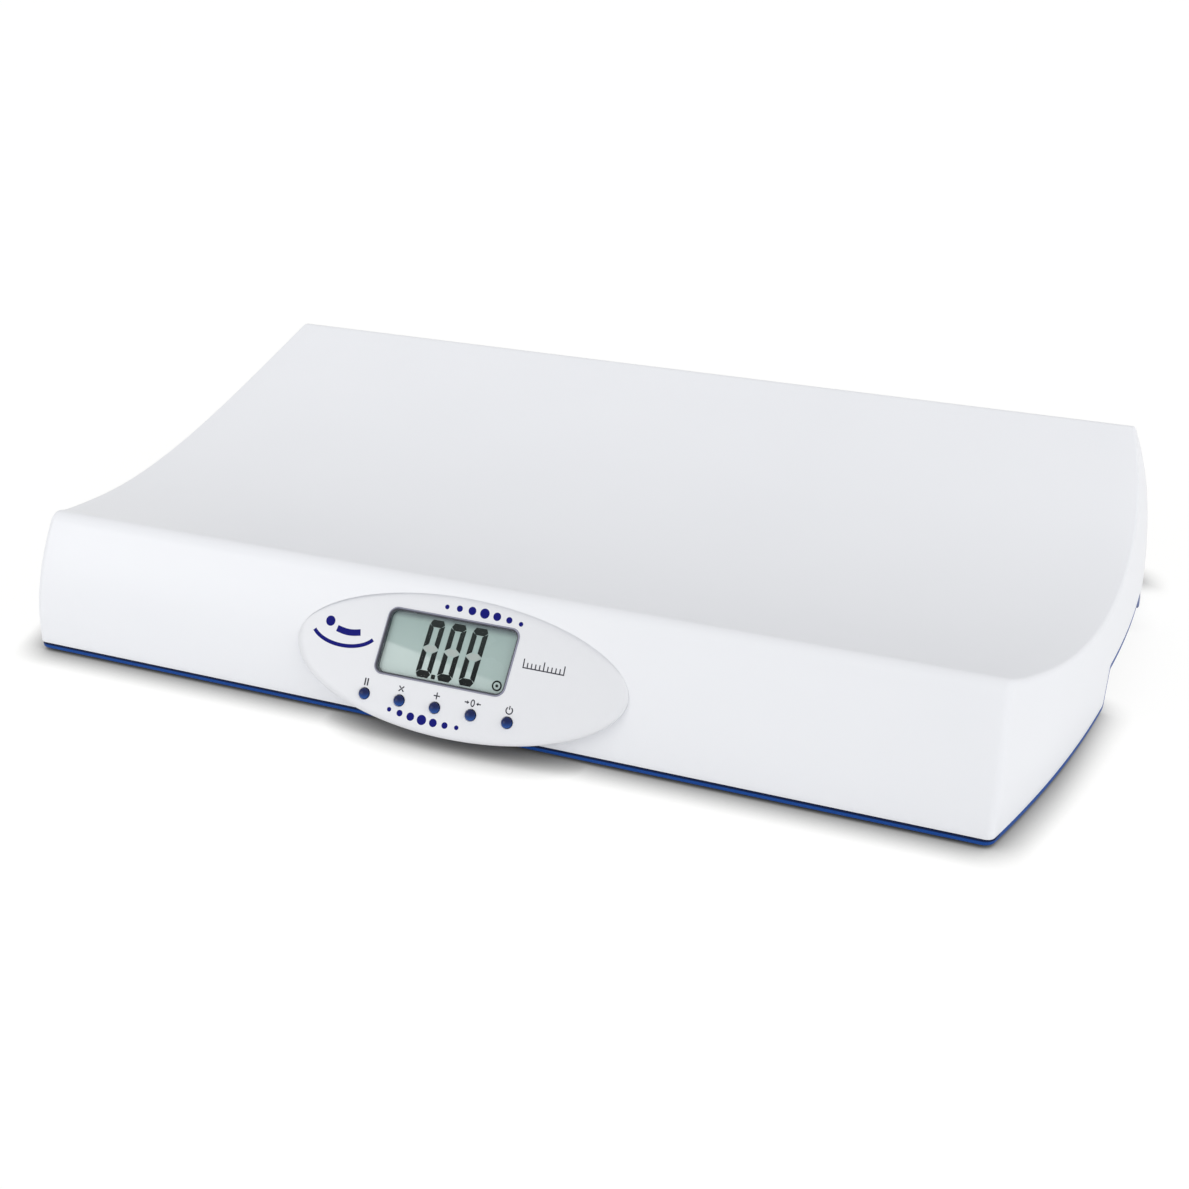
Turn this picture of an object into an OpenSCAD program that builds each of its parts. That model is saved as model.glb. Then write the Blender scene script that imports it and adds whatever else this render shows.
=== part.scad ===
// Digital weighing scale for babies: a dished white tray over a shallow blue base on four
// load cell feet, with a leaning oval display panel that carries five keys.
// Millimetres. X runs along the tray, Y from the front edge to the back, Z up from the floor.

/* [Tray] */
// Length over the two bowed ends
scale_len = 603; // [560:1:660]
// Depth of the tray from its front edge to its back edge
scale_depth = 342; // [330:2:372]
// How far each end bows out between the front corner and its widest point
end_bow = 34; // [20:0.2:44]
// Distance of the widest point behind the front edge
widest_y = 240; // [200:5:250]
// Height of the sharp front crest over the tray's lower edge
crest_h = 72.6; // [66:0.2:78]
// How far the sharp crest stands behind the front edge
crest_in = 23.2; // [19:0.2:28]
// Radius that rounds the front crest
crest_r = 8; // [7:0.5:13]
// Height of the lowest line of the trough over the tray's lower edge
low_h = 50; // [46:0.5:54]
// Distance of the lowest line of the trough behind the front edge
low_y = 141; // [125:1:160]
// Height of the sharp back lip over the tray's lower edge
back_h = 98.5; // [92:0.5:105]
// Radius that rounds the back lip
lip_r = 5; // [3:0.5:8]
// How far the end and back walls lean in at the height of the back lip
lean_top = 17; // [15:0.1:22]
// Height up to which the end and back walls stand upright
lean_from = 18; // [15:0.5:22]
// Wall of the tray moulding
tray_wall = 2.8; // [2.4:0.1:3.2]
// Thickness of the ribs under the trough
rib_t = 2; // [1.5:0.1:3]
// Depth of the ribs under the trough
rib_depth = 9; // [6:0.5:12]
// Distance between neighbouring cross ribs
rib_pitch = 90; // [80:1:100]

/* [Hand grips] */
// Front end of each arch at the tray's lower edge, behind the front edge
grip_front = 152; // [148:0.5:160]
// Back end of each arch at the tray's lower edge, behind the front edge
grip_back = 290; // [280:0.5:294]
// Run of the steep front flank of an arch
grip_front_run = 5.6; // [4:0.2:10]
// Run of the sloping back flank of an arch
grip_back_run = 32; // [20:0.5:36]
// Height of the arch over the tray's lower edge
grip_h = 20.4; // [17:0.2:22]
// Depth of the finger hollow, in from the widest point of the end
grip_depth = 62; // [50:1:64]

/* [Base] */
// Height of the base's underside over the floor
base_z = 2; // [1.6:0.1:2.4]
// Height of the tray's lower edge over the floor
edge_z = 5.5; // [5.3:0.1:6.2]
// Floor of the base
base_floor = 2.5; // [2.2:0.1:2.8]
// Wall of the base
base_wall = 2.2; // [2:0.1:2.8]
// Height of the base's wall over the floor it stands on
base_rise = 12; // [10.5:0.5:13]
// How far the visible blue bead stands in from the tray's face
bead_in = 0.6; // [0.3:0.1:1]
// Height of the shadow gap between the bead and the tray
bead_gap = 0.3; // [0.2:0.05:0.6]
// Radius of the base's upright corners at the front
corner_front = 6; // [4:0.5:8]
// Radius of the base's upright corners at the back
corner_back = 8; // [6:0.5:10]
// Clearance between the tray's wall and the base's wall inside it
nest_gap = 0.5; // [0.4:0.05:0.7]
// Blue edge that shows below the tray round an arch
grip_edge = 3.5; // [3:0.1:4]

/* [Display panel] */
// Lean of the panel from upright, in degrees
panel_lean = 31; // [28:0.5:33]
// Half of the oval's length
oval_a = 93; // [88:0.5:100]
// Half of the oval's height, measured along the slope
oval_b = 37.2; // [36:0.2:38]
// Centre of the oval along the tray
oval_x = -6; // [-20:0.5:20]
// Centre of the oval behind the tray's front edge
oval_y = 2; // [1:0.1:3]
// Centre of the oval over the tray's lower edge
oval_z = 33.4; // [33:0.1:34.2]
// Face plate of the panel
plate_t = 2.4; // [2.2:0.1:2.6]
// Skirt round the panel
skirt_t = 2.4; // [2:0.1:2.8]
// Depth of the skirt behind the face plate's front
skirt_depth = 5.5; // [4.5:0.1:6]
// Gap between the panel's skirt and the tray's opening
panel_gap = 0.3; // [0.2:0.05:0.4]
// Ears at both ends of the panel, which the fixing screws go through
ear_reach = 14; // [12:0.5:18]
// Thickness of an ear
ear_t = 2.4; // [2:0.1:3]
// Distance between the two screws of an ear
ear_pitch = 10; // [9:0.5:12]

/* [Display] */
// Width of the display frame
lcd_w = 74; // [66:0.5:76]
// Height of the display frame along the slope
lcd_h = 35.4; // [32:0.2:36]
// Corner radius of the display frame
lcd_r = 5; // [3.5:0.1:6]
// Width of the dark frame round the window
lcd_frame = 1.5; // [1.3:0.1:2.5]
// Centre of the display, to the right of the oval's centre
lcd_u = -7; // [-12:0.5:4]
// Centre of the display, up the slope from the oval's centre
lcd_v = 7.9; // [6.5:0.1:8.5]
// How far the dark frame stands proud of the face plate
frame_proud = 0.5; // [0.2:0.1:0.8]
// Depth of the seat that the dark frame sits in
frame_seat = 1.6; // [1.3:0.1:1.7]
// Thickness of the clear window
window_t = 1.2; // [0.8:0.1:1.2]
// Thickness of the display glass
glass_t = 2.6; // [2.2:0.1:3]
// Distance of the circuit board's front behind the face plate's front
board_w = 9; // [8.7:0.1:10]
// Thickness of the circuit board
board_t = 1.6; // [1.2:0.1:2]
// Width of the circuit board
board_len = 120; // [112:1:124]
// Distance of the mounting posts from the middle of the board, to each side
post_u = 50; // [48:0.5:53]
// Radius of a mounting post
post_r = 3; // [2.8:0.1:3.6]

/* [Keys] */
// Radius of a key
key_r = 2.8; // [2.5:0.1:4]
// Distance between neighbouring keys
key_pitch = 20.2; // [18:0.2:21]
// Row of keys, down the slope from the oval's centre
key_v = -21.3; // [-22.5:0.1:-20]
// How far a key's dome stands over the face plate
key_proud = 2.2; // [1.8:0.1:3]
// Travel of a key
key_travel = 0.8; // [0.5:0.05:0.9]
// Clearance round a key in its hole
key_gap = 0.25; // [0.2:0.01:0.35]
// Radius of the flange that holds a key in
flange_r = 4.5; // [4.3:0.1:5.5]
// Thickness of a key's flange
flange_t = 1; // [0.8:0.1:1.2]
// Width of a switch under a key
switch_w = 4.4; // [4:0.1:4.6]

/* [Feet] */
// Distance of the feet from the widest point of the end beside them
foot_in = 95; // [90:1:105]
// Distance of the front feet behind the front edge
foot_front_y = 50; // [44:1:58]
// Distance of the rear feet before the back edge
foot_back = 37; // [34:1:38]
// Radius of a rubber pad
pad_r = 12; // [10:0.5:12.5]
// Thickness of a rubber pad
pad_t = 1.6; // [1.2:0.1:1.8]
// Radius of a foot's cap
cap_r = 13.5; // [13:0.1:14]
// Clearance round a foot in the base
foot_gap = 1; // [0.6:0.1:1.4]
// Height of the load cells' underside over the floor
cell_z = 7; // [6.8:0.1:7.6]
// Thickness of a load cell's steel plate
cell_t = 2; // [1.6:0.1:2.4]
// Length of a load cell's plate
cell_len = 46; // [45:0.5:48]
// Width of a load cell's plate
cell_wide = 32; // [30:0.5:34]
// Distance of a load cell's screws from its centre
cell_screw_x = 18.8; // [18.6:0.1:19.4]

/* [Batteries] */
// Radius of a battery cell
battery_r = 7.25; // [7:0.05:7.4]
// Length of a battery cell without its nipple
battery_len = 49.2; // [48:0.1:50]
// Room for the contacts at each end of the cells
contact_room = 4; // [3.8:0.1:5]
// Centre of the battery bay along the tray
bay_x = 70; // [60:1:75]
// Centre of the battery bay behind the front edge
bay_y = 190; // [180:1:210]
// Walls and ceiling of the bay
bay_wall = 2; // [1.6:0.1:2.4]
// Thickness of the battery door
door_t = 2; // [1.6:0.1:2.2]
// Clearance round the battery door
door_gap = 0.3; // [0.25:0.05:0.5]
// Width of the ledge that the door closes against
door_ledge = 3; // [2.8:0.1:3.5]
// Height of the thick pad of floor round the bay
bay_pad = 4.5; // [4:0.1:5]

/* [Fasteners and clearances] */
// Radius of a screw's thread
screw_r = 1.4; // [1.2:0.05:1.5]
// Radius of a screw's head
head_r = 2.7; // [2.5:0.1:2.9]
// Height of a screw's head
head_h = 1.6; // [1.4:0.1:1.8]
// Clearance round a screw's thread in the hole it is driven into
thread_gap = 0.05; // [0.04:0.01:0.1]
// Radius of the posts that reach from the tray to the base
column_r = 4.5; // [4.2:0.1:5.5]
// Gap left between pieces that seat on each other
seat = 0.2; // [0.1:0.02:0.3]
// Radius of an internal lead
lead_r = 0.9; // [0.7:0.05:1]

/* [Hidden] */

half_len = scale_len / 2;
// radius of the end walls in plan, and how far their centres lie past the middle
end_r = (widest_y * widest_y + end_bow * end_bow) / (2 * end_bow);
end_c = end_r - half_len;
far = 2 * scale_depth;
// the panel's place in the frame of the floor
panel_z = edge_z + oval_z;
oval_rise = oval_b * cos(panel_lean);
// the oval's lowest point is the foremost point of the whole scale
reach = oval_b * sin(panel_lean) - oval_y;
mid_y = (scale_depth - reach) / 2;
// the ears stand behind the tray's front wall at the height of the ears' tops
ear_half = ear_pitch / 2 + head_r + 2;
ear_y = front_y(oval_z + ear_half) + tray_wall + 0.8;
skirt_back = ear_y + ear_t;
glass_w = plate_t + door_gap;
key_u = [for (i = [-2:2]) lcd_u + i * key_pitch];
posts = [for (u = [-post_u, post_u], v = [-9, 13]) [lcd_u + u, v]];
base_top = base_z + base_floor;
foot_x = half_len - foot_in;
foot_back_y = scale_depth - foot_back;
feet = [[-foot_x, foot_front_y], [foot_x, foot_front_y], [-foot_x, foot_back_y], [foot_x, foot_back_y]];
// the case screws: beside the front feet, beside the rear feet and before the hand grips
columns = [for (s = [-1, 1]) each [
    [s * (foot_x - cell_len / 2 - 32), foot_front_y - 8],
    [s * (foot_x - cell_len / 2 - 32), foot_back_y + 3],
    [s * (foot_x + 13), grip_front - 42]
]];
column_z = base_z + base_rise;
battery_pitch = 2 * battery_r + 0.4;
bay_w = 4 * battery_pitch + 1;
bay_l = battery_len + 1.3 + 2 * contact_room;
door_w = bay_w + 2 * door_ledge;
door_l = bay_l + 2 * door_ledge;
ledge_z = base_z + door_t + seat;
battery_z = ledge_z + 0.4 + battery_r;
bay_top = battery_z + battery_r + 0.8;

white = [0.94, 0.94, 0.955];
blue = [0.09, 0.26, 0.6];
dark = [0.16, 0.17, 0.2];
steel = [0.72, 0.73, 0.75];
screw_steel = [0.6, 0.61, 0.63];

// ---- curves of the tray ----

// inset of the front wall at a height over the tray's lower edge
function front_y(z) = crest_in * pow(max(z, 0) / crest_h, 2);
// inset of the end walls and of the back wall at that height
function lean(z) = z <= lean_from ? 0 : lean_top * z * (z - lean_from) / (back_h * (back_h - lean_from));
back_y = scale_depth - lean_top;
// height of the trough behind the front edge: one parabola before the lowest line, one behind it
function trough_z(y) = y < low_y
    ? low_h + (crest_h - low_h) * pow((low_y - y) / (low_y - crest_in), 2)
    : low_h + (back_h - low_h) * pow((y - low_y) / (back_y - low_y), 2);
function unit(v) = v / norm(v);
// points on the arc of radius r that rounds the corner b between a and c
function round_corner(a, b, c, r, n = 6) =
    let (p = unit(a - b), q = unit(c - b), h = acos(p * q) / 2, m = b + unit(p + q) * r / sin(h),
         s = b + p * r / tan(h) - m, e = b + q * r / tan(h) - m)
    [for (i = [0:n]) m + r * unit(s + (e - s) * i / n)];
// the tray in Y and Z, endless downward: up the back wall, over the lip, through the trough, over the crest
function side_profile() = concat(
    [[0, -far], [scale_depth, -far]],
    [for (i = [0:6]) let (z = lean_from + (back_h - 2 * lip_r - lean_from) * i / 6)
        [scale_depth - lean(z), z]],
    round_corner([scale_depth - lean(back_h - 2 * lip_r), back_h - 2 * lip_r], [back_y, back_h],
                 [back_y - 2 * lip_r, trough_z(back_y - 2 * lip_r)], lip_r),
    [for (i = [11:-1:0]) let (y = low_y + (back_y - 2 * lip_r - low_y) * i / 11) [y, trough_z(y)]],
    [for (i = [8:-1:0]) let (y = crest_in + crest_r + (low_y - crest_in - crest_r) * i / 9) [y, trough_z(y)]],
    round_corner([crest_in + crest_r, trough_z(crest_in + crest_r)], [crest_in, crest_h],
                 [front_y(crest_h - crest_r), crest_h - crest_r], crest_r),
    [for (i = [7:-1:0]) let (z = (crest_h - crest_r) * i / 7) [front_y(z), z]]
);
// the arch of a hand grip, drawn smaller by inset
module grip_shape(inset = 0) {
    shrink(inset) polygon([
        [grip_front - grip_front_run, -grip_h], [grip_front, 0], [grip_front + grip_front_run, grip_h],
        [grip_back - grip_back_run, grip_h], [grip_back, 0], [grip_back + grip_back_run, -grip_h]
    ]);
}

// ---- blocks that several pieces are cut from ----

module shrink(inset) {
    if (inset == 0) children();
    else offset(delta = -inset) children();
}

module place() { translate([0, -mid_y, 0]) children(); }
// a profile in Y and Z, drawn out along X over the whole length
module along_x(len = scale_len + 20) { rotate([90, 0, 90]) linear_extrude(len, center = true) children(); }
// everything inside the right end's bowed and leaning wall, moved in by inset
// its rings stay off the heights of the side profile's edges, because an exact cut can fail where they meet
module end_half(inset) {
    low = lean_from - 0.5;
    translate([-end_c, widest_y, 0]) rotate([0, 0, -60]) rotate_extrude(angle = 120, $fn = 360)
        polygon(concat([[0, -far - 50], [end_r - inset, -far - 50]],
            [for (i = [0:9]) let (z = low + (back_h + 10 - low) * i / 9) [end_r - inset - lean(z), z]],
            [[0, back_h + 10]]));
}
// the tray's outer form, moved in by inset and endless downward
module tray_form(inset) {
    intersection() {
        along_x() shrink(inset) polygon(side_profile());
        end_half(inset);
        mirror([1, 0, 0]) end_half(inset);
    }
}
// a flat slice of the plan outline with its rounded corners, moved in by inset
function end_x(y, inset) = sqrt(pow(end_r - inset, 2) - pow(y - widest_y, 2)) - end_c;
function end_outline(inset) =
    let (y0 = inset, y1 = scale_depth - inset, c0 = 2 * corner_front, c1 = 2 * corner_back)
    concat(
        round_corner([0, y0], [end_x(y0, inset), y0], [end_x(y0 + c0, inset), y0 + c0],
                     max(corner_front - inset, 1)),
        [for (i = [0:39]) let (y = y0 + c0 + (y1 - c1 - y0 - c0) * i / 39) [end_x(y, inset), y]],
        round_corner([end_x(y1 - c1, inset), y1 - c1], [end_x(y1, inset), y1], [0, y1],
                     max(corner_back - inset, 1))
    );
module plan_slice(inset, z0, z1) {
    right = end_outline(inset);
    translate([0, 0, z0]) linear_extrude(z1 - z0)
        polygon(concat(right, [for (i = [len(right) - 1:-1:0]) [-right[i][0], right[i][1]]]));
}
// the oval, drawn out along Y from y0 to y1 and made larger by grow
module oval_column(grow, y0, y1) {
    translate([oval_x, y1, panel_z]) rotate([90, 0, 0]) linear_extrude(y1 - y0)
        polygon([for (i = [0:71]) [(oval_a + grow) * cos(5 * i), (oval_rise + grow) * sin(5 * i)]]);
}
// the frame of the display panel: X to the right, Y up the slope, Z out of the face
module on_panel() { translate([oval_x, oval_y, panel_z]) rotate([90 - panel_lean, 0, 0]) children(); }
// a layer of the panel's frame between two depths behind the face
module layer(d0, d1) { translate([-oval_a - 20, -far / 4, -d1]) cube([2 * oval_a + 40, far / 2, d1 - d0]); }
// a plate with rounded corners, centred, from z0 up to z1
module rounded_plate(w, h, r, z0, z1) {
    translate([0, 0, z0]) union() {
        translate([-w / 2 + r, -h / 2, 0]) cube([w - 2 * r, h, z1 - z0]);
        translate([-w / 2, -h / 2 + r, 0]) cube([w, h - 2 * r, z1 - z0]);
        for (x = [-1, 1], y = [-1, 1]) translate([x * (w / 2 - r), y * (h / 2 - r), 0])
            cylinder(z1 - z0, r = r, $fn = 48);
    }
}
// a screw with its head's underside at the origin, the head up and the thread down
module screw(len) {
    difference() {
        union() {
            cylinder(head_h, r = head_r, $fn = 32);
            translate([0, 0, -len]) cylinder(len + 0.01, r = screw_r, $fn = 24);
        }
        translate([0, 0, head_h - 0.8]) cylinder(1, r = 1.1, $fn = 6);
    }
}

// ---- casings ----

module tray_shell() {
    color(white) place() difference() {
        union() {
            translate([0, 0, edge_z]) difference() {
                tray_form(0);
                tray_form(tray_wall);
                translate([-scale_len, -far, -2 * far]) cube([2 * scale_len, 3 * far, 2 * far]);
            }
            intersection() {
                translate([0, 0, edge_z]) tray_form(tray_wall / 2);
                tray_columns();
            }
            translate([0, 0, edge_z]) trough_ribs();
            panel_bosses();
        }
        for (c = columns) translate([c[0], c[1], column_z + seat - 1])
            cylinder(13, r = screw_r + thread_gap, $fn = 24);
        for (s = ear_screws()) translate([s[0], ear_y, s[1]]) rotate([90, 0, 0])
            translate([0, 0, -1]) cylinder(5.5, r = screw_r + thread_gap, $fn = 24);
        translate([0, 0, edge_z]) along_x() grip_shape();
        oval_column(panel_gap, -40, crest_in + 6);
        // the strip of wall under the oval is too thin to mould, so the opening runs out below
        translate([oval_x - oval_a / 3, -1, 0]) cube([2 * oval_a / 3, tray_wall + 4, edge_z + 2.5]);
    }
}
module tray_columns() {
    for (c = columns) translate([c[0], c[1], column_z + seat]) cylinder(back_h, r = column_r, $fn = 32);
}
module trough_ribs() {
    difference() {
        intersection() {
            tray_form(tray_wall / 2);
            union() for (i = [-2:2]) translate([i * rib_pitch - rib_t / 2, crest_in + 45, low_h / 2])
                cube([rib_t, back_y - crest_in - 75, back_h]);
        }
        along_x(scale_len + 40) shrink(tray_wall + rib_depth) polygon(side_profile());
    }
}
// blind bosses behind the front wall, for the screws of the panel's ears
module panel_bosses() {
    intersection() {
        translate([0, 0, edge_z]) tray_form(tray_wall / 2);
        union() for (s = ear_screws()) translate([s[0], ear_y - seat, s[1]]) rotate([90, 0, 0])
            cylinder(ear_y + 4, r = 3.6, $fn = 32);
    }
}
function ear_screws() = [for (x = [-1, 1], z = [-1, 1])
    [oval_x + x * (oval_a + ear_reach - head_r - 2), panel_z + z * ear_pitch / 2]];

module base_cover() {
    color(blue) place() difference() {
        union() {
            difference() {
                union() {
                    plan_slice(bead_in, base_z, edge_z - bead_gap);
                    plan_slice(tray_wall + nest_gap, base_z, base_z + base_rise);
                }
                plan_slice(tray_wall + nest_gap + base_wall, base_top, base_z + base_rise + 1);
            }
            grip_linings();
            panel_sill();
            for (c = columns) translate([c[0], c[1], base_z])
                cylinder(base_rise, r = column_r + 0.6, $fn = 32);
            for (f = feet, s = [-1, 1]) translate([f[0] + s * cell_screw_x, f[1], base_z])
                cylinder(cell_z - seat - base_z, r = 3.2, $fn = 32);
            bay_box();
        }
        for (s = [-1, 1]) translate([s * (half_len - grip_depth / 2 + 10), 0, edge_z])
            along_x(grip_depth + 20) grip_shape(grip_edge);
        for (c = columns) translate([c[0], c[1], base_z - 1]) {
            cylinder(1 + base_rise - 4, r = head_r + 0.3, $fn = 32);
            cylinder(base_rise + 2, r = screw_r + 0.25, $fn = 24);
        }
        for (f = feet) {
            translate([f[0], f[1], base_z - 1]) cylinder(base_floor + 2, r = cap_r + foot_gap, $fn = 64);
            for (s = [-1, 1]) translate([f[0] + s * cell_screw_x, f[1], base_z + 1])
                cylinder(cell_z, r = screw_r + thread_gap, $fn = 24);
        }
        oval_column(panel_gap + 0.2, -40, skirt_back + 1);
        bay_room();
    }
}
// the blue lining of each hand grip: flanks, ceiling and the end wall behind the fingers
module grip_linings() {
    for (s = [-1, 1]) intersection() {
        union() {
            intersection() {
                translate([0, 0, edge_z]) along_x() grip_shape(bead_gap);
                plan_slice(bead_in, base_z, edge_z + grip_h);
            }
            intersection() {
                translate([0, 0, edge_z]) along_x() grip_shape(-2);
                plan_slice(tray_wall + nest_gap, base_z, edge_z + grip_h + 2);
            }
        }
        translate([s * half_len - (s > 0 ? grip_depth + base_wall : 0), 0, base_z])
            cube([grip_depth + base_wall, scale_depth, 3 * grip_h]);
    }
}
// the sill that closes the base under the panel
module panel_sill() {
    translate([oval_x - oval_a / 3 + 0.5, bead_in, base_z])
        cube([2 * oval_a / 3 - 1, skirt_back, edge_z + 2 - base_z]);
}
module bay_box() {
    translate([bay_x - door_w / 2 - 3, bay_y - door_l / 2 - 6, base_z])
        cube([door_w + 6, door_l + 9, bay_pad]);
    translate([bay_x - bay_w / 2 - bay_wall, bay_y - bay_l / 2 - bay_wall, base_z])
        cube([bay_w + 2 * bay_wall, bay_l + 2 * bay_wall, bay_top + bay_wall - base_z]);
}
module bay_room() {
    translate([bay_x - door_w / 2 - door_gap, bay_y - door_l / 2 - door_gap, base_z - 1])
        cube([door_w + 2 * door_gap, door_l + 2 * door_gap, ledge_z - base_z + 1]);
    translate([bay_x - bay_w / 2, bay_y - bay_l / 2, base_z]) cube([bay_w, bay_l, bay_top - base_z]);
    // pockets for the door's two tabs and for its catch
    for (s = [-1, 1]) translate([bay_x + s * bay_w / 3 - 5, bay_y - door_l / 2 - 5, ledge_z - 0.1])
        cube([10, 12, 5]);
    translate([bay_x - 6, bay_y + door_l / 2 - 4, ledge_z - 0.1]) cube([12, 4 + door_gap, 5]);
}
// turns about its front lower edge: two tabs reach over the floor there, and a catch stands at the back
module battery_door() {
    color(blue) place() translate([bay_x, bay_y - door_l / 2, base_z]) difference() {
        union() {
            translate([-door_w / 2, 0, 0]) cube([door_w, door_l, door_t]);
            for (s = [-1, 1]) translate([s * bay_w / 3 - 4, 0, door_t - 0.01]) {
                cube([8, 2, 2]);
                translate([0, -3.5, 0.8]) cube([8, 5.5, 1.4]);
            }
            translate([-5, door_l - 3.4, door_t - 0.01]) cube([10, 2, 3]);
        }
        // the finger notch
        translate([0, door_l + 2, -0.6]) cylinder(1.4, r = 7, $fn = 48);
    }
}

// ---- display panel ----

module display_bezel() {
    color(white) place() difference() {
        union() {
            difference() {
                intersection() {
                    oval_column(0, -40, 60);
                    union() {
                        on_panel() layer(0, skirt_depth);
                        intersection() {
                            on_panel() layer(0, 60);
                            translate([-half_len, -60, 0]) cube([scale_len, 60 + skirt_back, 90]);
                        }
                    }
                }
                intersection() {
                    oval_column(-skirt_t, -41, 61);
                    on_panel() layer(plate_t, 90);
                }
            }
            on_panel() for (p = posts) translate([p[0], p[1], -board_w + seat])
                cylinder(board_w - seat - plate_t + 0.2, r = post_r, $fn = 32);
            for (s = [-1, 1]) translate([oval_x + s * (oval_a + ear_reach / 2 - 2) - ear_reach / 2 - 2,
                                        ear_y, panel_z - ear_half])
                cube([ear_reach + 4, ear_t, 2 * ear_half]);
        }
        on_panel() {
            translate([lcd_u, lcd_v, 0]) {
                rounded_plate(lcd_w + 2 * seat, lcd_h + 2 * seat, lcd_r + seat, -frame_seat, 1);
                rounded_plate(lcd_w - 6, lcd_h - 6, lcd_r - 2, -plate_t - 1, 1);
            }
            for (u = key_u) translate([u, key_v, -plate_t - 1])
                cylinder(plate_t + 2, r = key_r + key_gap, $fn = 48);
            for (p = posts) translate([p[0], p[1], -board_w])
                cylinder(board_w - plate_t, r = screw_r + thread_gap, $fn = 24);
        }
        for (s = ear_screws()) translate([s[0], ear_y + ear_t + 1, s[1]]) rotate([90, 0, 0])
            cylinder(ear_t + 2, r = screw_r + 0.25, $fn = 24);
    }
}
module lcd_gasket() {
    color(dark) place() on_panel() translate([lcd_u, lcd_v, 0]) difference() {
        rounded_plate(lcd_w, lcd_h, lcd_r, -frame_seat + seat, frame_proud);
        rounded_plate(lcd_w - 2 * lcd_frame, lcd_h - 2 * lcd_frame, lcd_r - 1.5, -frame_seat, 2);
    }
}
module lcd_window() {
    color([0.8, 0.85, 0.85, 0.4]) place() on_panel() translate([lcd_u, lcd_v, 0])
        rounded_plate(lcd_w - 2 * lcd_frame - 2 * seat, lcd_h - 2 * lcd_frame - 2 * seat, lcd_r - 1.7,
                      -frame_seat + seat, -frame_seat + seat + window_t);
}
module lcd_panel() {
    color([0.66, 0.71, 0.68]) place() on_panel() translate([lcd_u, lcd_v, -glass_w - glass_t])
        translate([-lcd_w / 2 + 1.5, -lcd_h / 2 + 1.7, 0]) cube([lcd_w - 3, lcd_h - 3.4, glass_t]);
}
module lcd_holder() {
    color(white) place() on_panel() translate([lcd_u, lcd_v, 0]) difference() {
        rounded_plate(lcd_w + 3, lcd_h + 3, 2, -board_w + seat, -glass_w);
        translate([-lcd_w / 2 + 1.2, -lcd_h / 2 + 1.4, -board_w - 1])
            cube([lcd_w - 2.4, lcd_h - 2.8, board_w]);
    }
}
module lcd_connector() {
    color(dark) place() on_panel()
        translate([lcd_u - lcd_w / 2 + 6, lcd_v - lcd_h / 2 + 3, -board_w + seat / 2])
            cube([lcd_w - 12, 2.6, board_w - glass_w - glass_t - seat]);
}
module main_board() {
    // the oval's middle slides up the slope with depth, because its skirt runs straight back
    rise = (board_w + board_t) * tan(panel_lean);
    color([0.1, 0.36, 0.2]) place() on_panel() difference() {
        intersection() {
            translate([0, rise - 0.8, -board_w - board_t]) linear_extrude(board_t)
                polygon([for (i = [0:71])
                    [(oval_a - skirt_t - 2.5) * cos(5 * i), (oval_b - skirt_t - 3) * sin(5 * i)]]);
            translate([lcd_u - board_len / 2, -oval_b, -board_w - board_t])
                cube([board_len, oval_b + lcd_v + lcd_h / 2 + 3, board_t]);
        }
        for (p = posts) translate([p[0], p[1], -board_w - board_t - 1])
            cylinder(board_t + 2, r = screw_r + 0.2, $fn = 24);
    }
}
module board_parts() {
    back = -board_w - board_t - seat / 4;
    color(dark) place() on_panel() {
        for (b = [[-38, 4, 14, 14, 1.6], [-14, 8, 9, 6, 1.4], [10, 6, 9, 6, 1.4], [2, -10, 6, 6, 1.2],
                  [-20, -12, 24, 6, 5], [24, -6, 8, 5, 4]])
            translate([lcd_u + b[0], b[1], back - b[4]]) cube([b[2], b[3], b[4]]);
        translate([lcd_u + 34, 10, back - 6]) cylinder(6, r = 3.2, $fn = 32);
        translate([lcd_u - 22, 20, back - 2.4]) cylinder(2.4, r = 2.6, $fn = 32);
    }
}
module tact_switches() {
    color(dark) place() on_panel() for (u = key_u) translate([u, key_v, -board_w + seat / 4]) {
        top = board_w - plate_t - door_gap - flange_t - 0.3 - key_travel - door_gap - seat / 4;
        translate([-switch_w / 2, -switch_w / 2, 0]) cube([switch_w, switch_w, top - 0.5]);
        cylinder(top, r = switch_w / 3, $fn = 32);
    }
}
module board_screws() {
    color(screw_steel) place() on_panel() for (p = posts)
        translate([p[0], p[1], -board_w - board_t - seat / 2]) rotate([180, 0, 0]) screw(5.5);
}
module bezel_screws() {
    color(screw_steel) place() for (s = ear_screws()) translate([s[0], ear_y + ear_t + seat / 2, s[1]])
        rotate([-90, 0, 0]) screw(6);
}
// one key: a domed cap on a flanged stem, with the nub that presses its switch
module key(i) {
    under = -plate_t - door_gap;
    color([0.1, 0.24, 0.5]) place() on_panel() translate([key_u[i], key_v, 0])
        rotate_extrude($fn = 64) polygon(concat(
            [[0, under - flange_t - 0.3], [1.5, under - flange_t - 0.3], [1.5, under - flange_t],
             [flange_r, under - flange_t], [flange_r, under], [key_r, under]],
            [for (k = [0:8]) [key_r * cos(k * 11.25), 0.5 + (key_proud - 0.5) * sin(k * 11.25)]]));
}
module button_hold() { key(0); }
module button_memory_clear() { key(1); }
module button_memory_add() { key(2); }
module button_tare() { key(3); }
module button_power() { key(4); }

// ---- feet and load cells ----

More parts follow.
